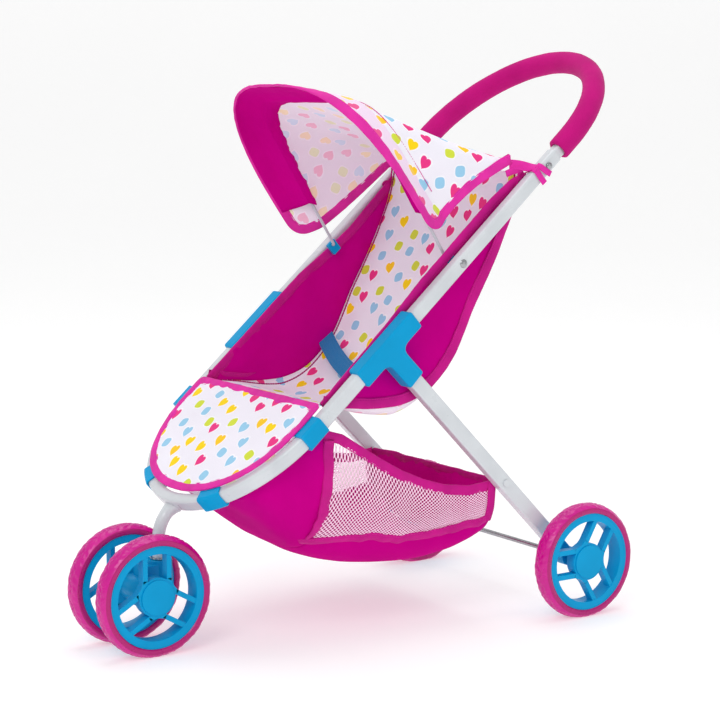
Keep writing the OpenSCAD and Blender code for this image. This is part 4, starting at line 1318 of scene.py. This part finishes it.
def make_tee(side):
    """The moulded tee: a sleeve on the rail and a socket for the leg, joined with fillets."""
    name = "left" if side > 0 else "right"
    top = rail_point(TEE_U)[1:]
    run = LEG_FOOT - top
    slope = math.atan2(run[1], run[0]) - TILT
    e = np.array([math.cos(slope), math.sin(slope)])
    n = np.array([-e[1], e[0]])
    outline = [np.array([-TEE_HALF, TEE_DEEP]), np.array([-TEE_HALF, -TEE_DEEP])]
    corners = []
    for sign in (-1, 1):
        s = (TEE_DEEP + sign * SOCKET_HALF * n[1]) / -e[1]
        corners.append(sign * SOCKET_HALF * n + s * e)
    rail_way = np.array([1.0, 0.0])

    def fillet(corner, first, last):
        """A quarter curve that leaves one edge and joins the other."""
        return [(1 - t) ** 2 * first + 2 * t * (1 - t) * corner + t * t * last for t in np.linspace(0, 1, 9)]

    front, back = corners
    outline += fillet(front, front - TEE_FILLET * rail_way, front + TEE_FILLET * e)
    outline += [SOCKET_LEN * e - SOCKET_HALF * n, SOCKET_LEN * e + SOCKET_HALF * n]
    outline += fillet(back, back + TEE_FILLET * e, back + TEE_FILLET * rail_way)
    outline += [np.array([TEE_HALF, -TEE_DEEP]), np.array([TEE_HALF, TEE_DEEP])]

    def on_rail(x, u, lift):
        """A point of the tee, from its own middle."""
        return rail_point(TEE_U + u, lift, side * LOOP_R + x)

    obj = extrude(f"tee_moulding_{name}", outline, on_rail, (-TEE_WIDE, TEE_WIDE), MAT["blue"])
    bevel = obj.modifiers.new("edges", "BEVEL")
    bevel.width = 2.4 * MM
    bevel.segments = 4
    bevel.limit_method = "ANGLE"
    bevel.angle_limit = math.radians(40)
    bevel.harden_normals = True
    settle(obj, "blue_plastic", f"tee_{name}")


def make_button_spring(side):
    """The leaf spring behind a snap button, as one fixed piece; on the real stroller its outer arm bends with
    the button and its inner arm stays.
    """
    name = "left" if side > 0 else "right"
    leaf = [(-3.1, 30), (-3.1, 4), (-2.4, 0.6), (1.5, 22), (1.5, 30), (2.0, 30),
            (2.0, 22), (-1.8, 0.4), (-2.2, -0.4), (-2.9, -0.4), (-3.6, 3.6), (-3.6, 30)]

    def in_tube(lift, x, u):
        """A point of the leaf, from the middle of the tube at the leaf's bend."""
        return rail_point(SPRING_U + u, lift, side * (LOOP_R + x))

    obj = extrude(f"spring_leaf_{name}", leaf, in_tube, (-LEAF_WIDE / 2, LEAF_WIDE / 2), MAT["steel"])
    obj.data.polygons.foreach_set("use_smooth", [False] * len(obj.data.polygons))
    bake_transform(obj)
    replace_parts(obj, f"button_spring_{name}")


def make_neck_weld():
    """The weld that spreads the neck's top along the front of the loop."""
    turns = [math.radians(a) for a in np.linspace(34, 57, 14)]
    path = [NECK_CENTRE + NECK_BEND_R * np.array([0, -math.cos(a), math.sin(a)]) for a in turns]
    tangent = np.array([[0, math.sin(a), math.cos(a)] for a in turns])
    across = np.repeat([[1.0, 0, 0]], len(path), axis=0)
    ring = np.linspace(0, 2 * math.pi, 33)[:-1]
    sections = []
    for t in np.linspace(0, 1, len(path)):
        wide, deep = 5.9 + 7.5 * t**2.6, 5.9 + 0.7 * t
        sections.append([(wide * math.cos(a), deep * math.sin(a)) for a in ring])
    obj = sweep("neck_weld", path, across, np.cross(tangent, across), np.array(sections), MAT["enamel"])
    settle(obj, "white_enamel")


# ---------------------------------------------------------------- tyres


TYRE_HALF = 9.7
TREAD_R = 13.0
TREAD_CENTRE = 44.5
SIDEWALL = (52.0, 50.5, 48.4)
RING_R = 51.4


def make_tyre(node, centre, out):
    """A soft tyre with a wavy tread band and a raised ring on each sidewall."""
    turns, steps = 288, 40
    wall = [(TYRE_HALF, r) for r in SIDEWALL]
    profile = [(-x, r) for x, r in wall[::-1]]
    for k in range(2, steps - 1):
        x = -TYRE_HALF * math.cos(math.pi * k / steps)
        profile.append((x, TREAD_CENTRE + math.sqrt(TREAD_R**2 - x * x)))
    profile += wall
    points, uv = [], []
    for i in range(turns):
        a = 2 * math.pi * i / turns
        for x, r in profile:
            shoulder = math.exp(-((abs(x) - 6.8) / 2.0) ** 2)
            wave = math.sin(14 * a + 1.2 * math.sin(28 * a + 0.6 * x))
            groove = -0.9 * math.exp(-((x - 3.4 * math.sin(20 * a)) / 1.0) ** 2)
            groove -= 0.6 * math.exp(-((x + 3.4 * math.sin(20 * a + 1.1)) / 0.9) ** 2)
            swell = 0.45 * wave * shoulder + groove * (abs(x) < 8.5)
            ring = 0.4 * math.exp(-((r - RING_R) / 0.8) ** 2)
            radius = r + swell
            points.append((centre[0] + out * (x + math.copysign(ring, x)), centre[1] + radius * math.cos(a),
                           centre[2] + radius * math.sin(a)))
            uv.append((a * WHEEL_R * MM, x * MM))
    n = len(profile)
    faces = grid_faces(turns, n, wrap_rows=True, wrap_cols=False)
    for i in range(turns):
        here, there = i * n, ((i + 1) % turns) * n
        faces.append((here + n - 1, there + n - 1, there, here))
    if out < 0:
        faces = [f[::-1] for f in faces]
    return make_mesh(f"{node}_tread", points, faces, uv, [MAT["tyre"]])


REAR_WHEEL = (140.4, 192.5)
FRONT_WHEEL = (29.0, -226.2)


def make_tyres():
    """Four tyres, each on its own wheel."""
    for end, (x, y) in (("rear", REAR_WHEEL), ("front", FRONT_WHEEL)):
        for name, side in (("left", 1), ("right", -1)):
            obj = make_tyre(f"tyre_{end}_{name}", (side * x, y, WHEEL_R), side)
            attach(obj, f"{end}_wheel_{name}")
            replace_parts(obj, f"tyre_{end}_{name}")


# ---------------------------------------------------------------- stage


FLOOR_TURN = 56
FLOOR_HALF = 8.0


def make_floor():
    """A pale floor, in metres, that curves up into a backdrop far behind."""
    profile = [(-6, 0.0), (3.0, 0.0), (4.0, 0.15), (4.6, 0.6), (4.8, 1.4), (4.9, 4.0)]
    profile = smooth([(y, z, 0) for y, z in profile], 3)
    turn = Matrix.Rotation(math.radians(FLOOR_TURN), 3, "Z")
    points, rows = [], len(profile)
    for y, z, _ in profile:
        for x in (-FLOOR_HALF, FLOOR_HALF):
            points.append(np.array(turn @ Vector((x, y, z))) / MM)
    faces = [f[::-1] for f in grid_faces(rows, 2)]
    graph = Graph("pale_floor", Roughness=0.9, Specular_IOR_Level=0.05, Emission_Color=(1, 1, 1, 1),
                  Emission_Strength=0.40)
    patch = graph.noise(graph.place(), 2.0, 2.0)
    graph.set("Base Color", graph.mix(patch, (0.70, 0.70, 0.70, 1), (0.72, 0.72, 0.72, 1)))
    floor = make_mesh("floor", points, faces, None, [graph.material])


def area_light(name, place, target, size, power):
    """A soft rectangular lamp aimed at a target, in metres."""
    light = bpy.data.lights.new(name, "AREA")
    light.shape = "RECTANGLE"
    light.size, light.size_y = size
    light.energy = power
    obj = bpy.data.objects.new(name, light)
    obj.location = place
    obj.rotation_euler = (Vector(target) - Vector(place)).to_track_quat("-Z", "Y").to_euler()
    bpy.context.scene.collection.objects.link(obj)


def make_lights():
    """A bright even studio: white all round, and three large soft lamps."""
    world = bpy.data.worlds.new("studio")
    world.use_nodes = True
    background = world.node_tree.nodes["Background"]
    background.inputs["Color"].default_value = (1.0, 1.0, 1.0, 1)
    background.inputs["Strength"].default_value = 0.62
    bpy.context.scene.world = world
    target = (0, 0, 0.28)
    area_light("key", (1.4, -1.9, 2.2), target, (1.2, 1.2), 20)
    area_light("top", (-0.3, 0.2, 2.8), target, (1.8, 1.8), 22)
    area_light("fill", (2.4, 0.8, 0.9), target, (1.6, 1.6), 4)
    bpy.context.scene.view_settings.view_transform = "Standard"


CAMERA_AT = (1.6049, -1.0553, 0.5160)
CAMERA_AZIMUTH = 56.15
CAMERA_ELEVATION = 7.72
CAMERA_LENS = 98.99


def make_camera():
    """The camera at the photograph's angle."""
    camera = bpy.data.cameras.new("camera")
    camera.lens = CAMERA_LENS
    camera.sensor_width = 36
    obj = bpy.data.objects.new("camera", camera)
    azimuth, elevation = math.radians(CAMERA_AZIMUTH), math.radians(CAMERA_ELEVATION)
    forward = Vector((-math.sin(azimuth) * math.cos(elevation), math.cos(azimuth) * math.cos(elevation),
                      -math.sin(elevation)))
    obj.location = CAMERA_AT
    obj.rotation_euler = forward.to_track_quat("-Z", "Y").to_euler()
    bpy.context.scene.collection.objects.link(obj)
    bpy.context.scene.camera = obj


# ---------------------------------------------------------------- making

make_camera()
make_lights()
make_floor()
dress_cad_nodes()
make_canopy()
make_visor_lining()
seat = make_seat_strip()
for side in (1, -1):
    make_seat_wall(side, seat)
    make_net(side)
    make_basket_tapes(side)
    make_ties(side)
    make_tee(side)
    make_button_spring(side)
make_foam_grip()
make_neck_weld()
make_lap_strap()
make_footrest()
make_basket()
make_basket_rear()
make_label()
make_tyres()
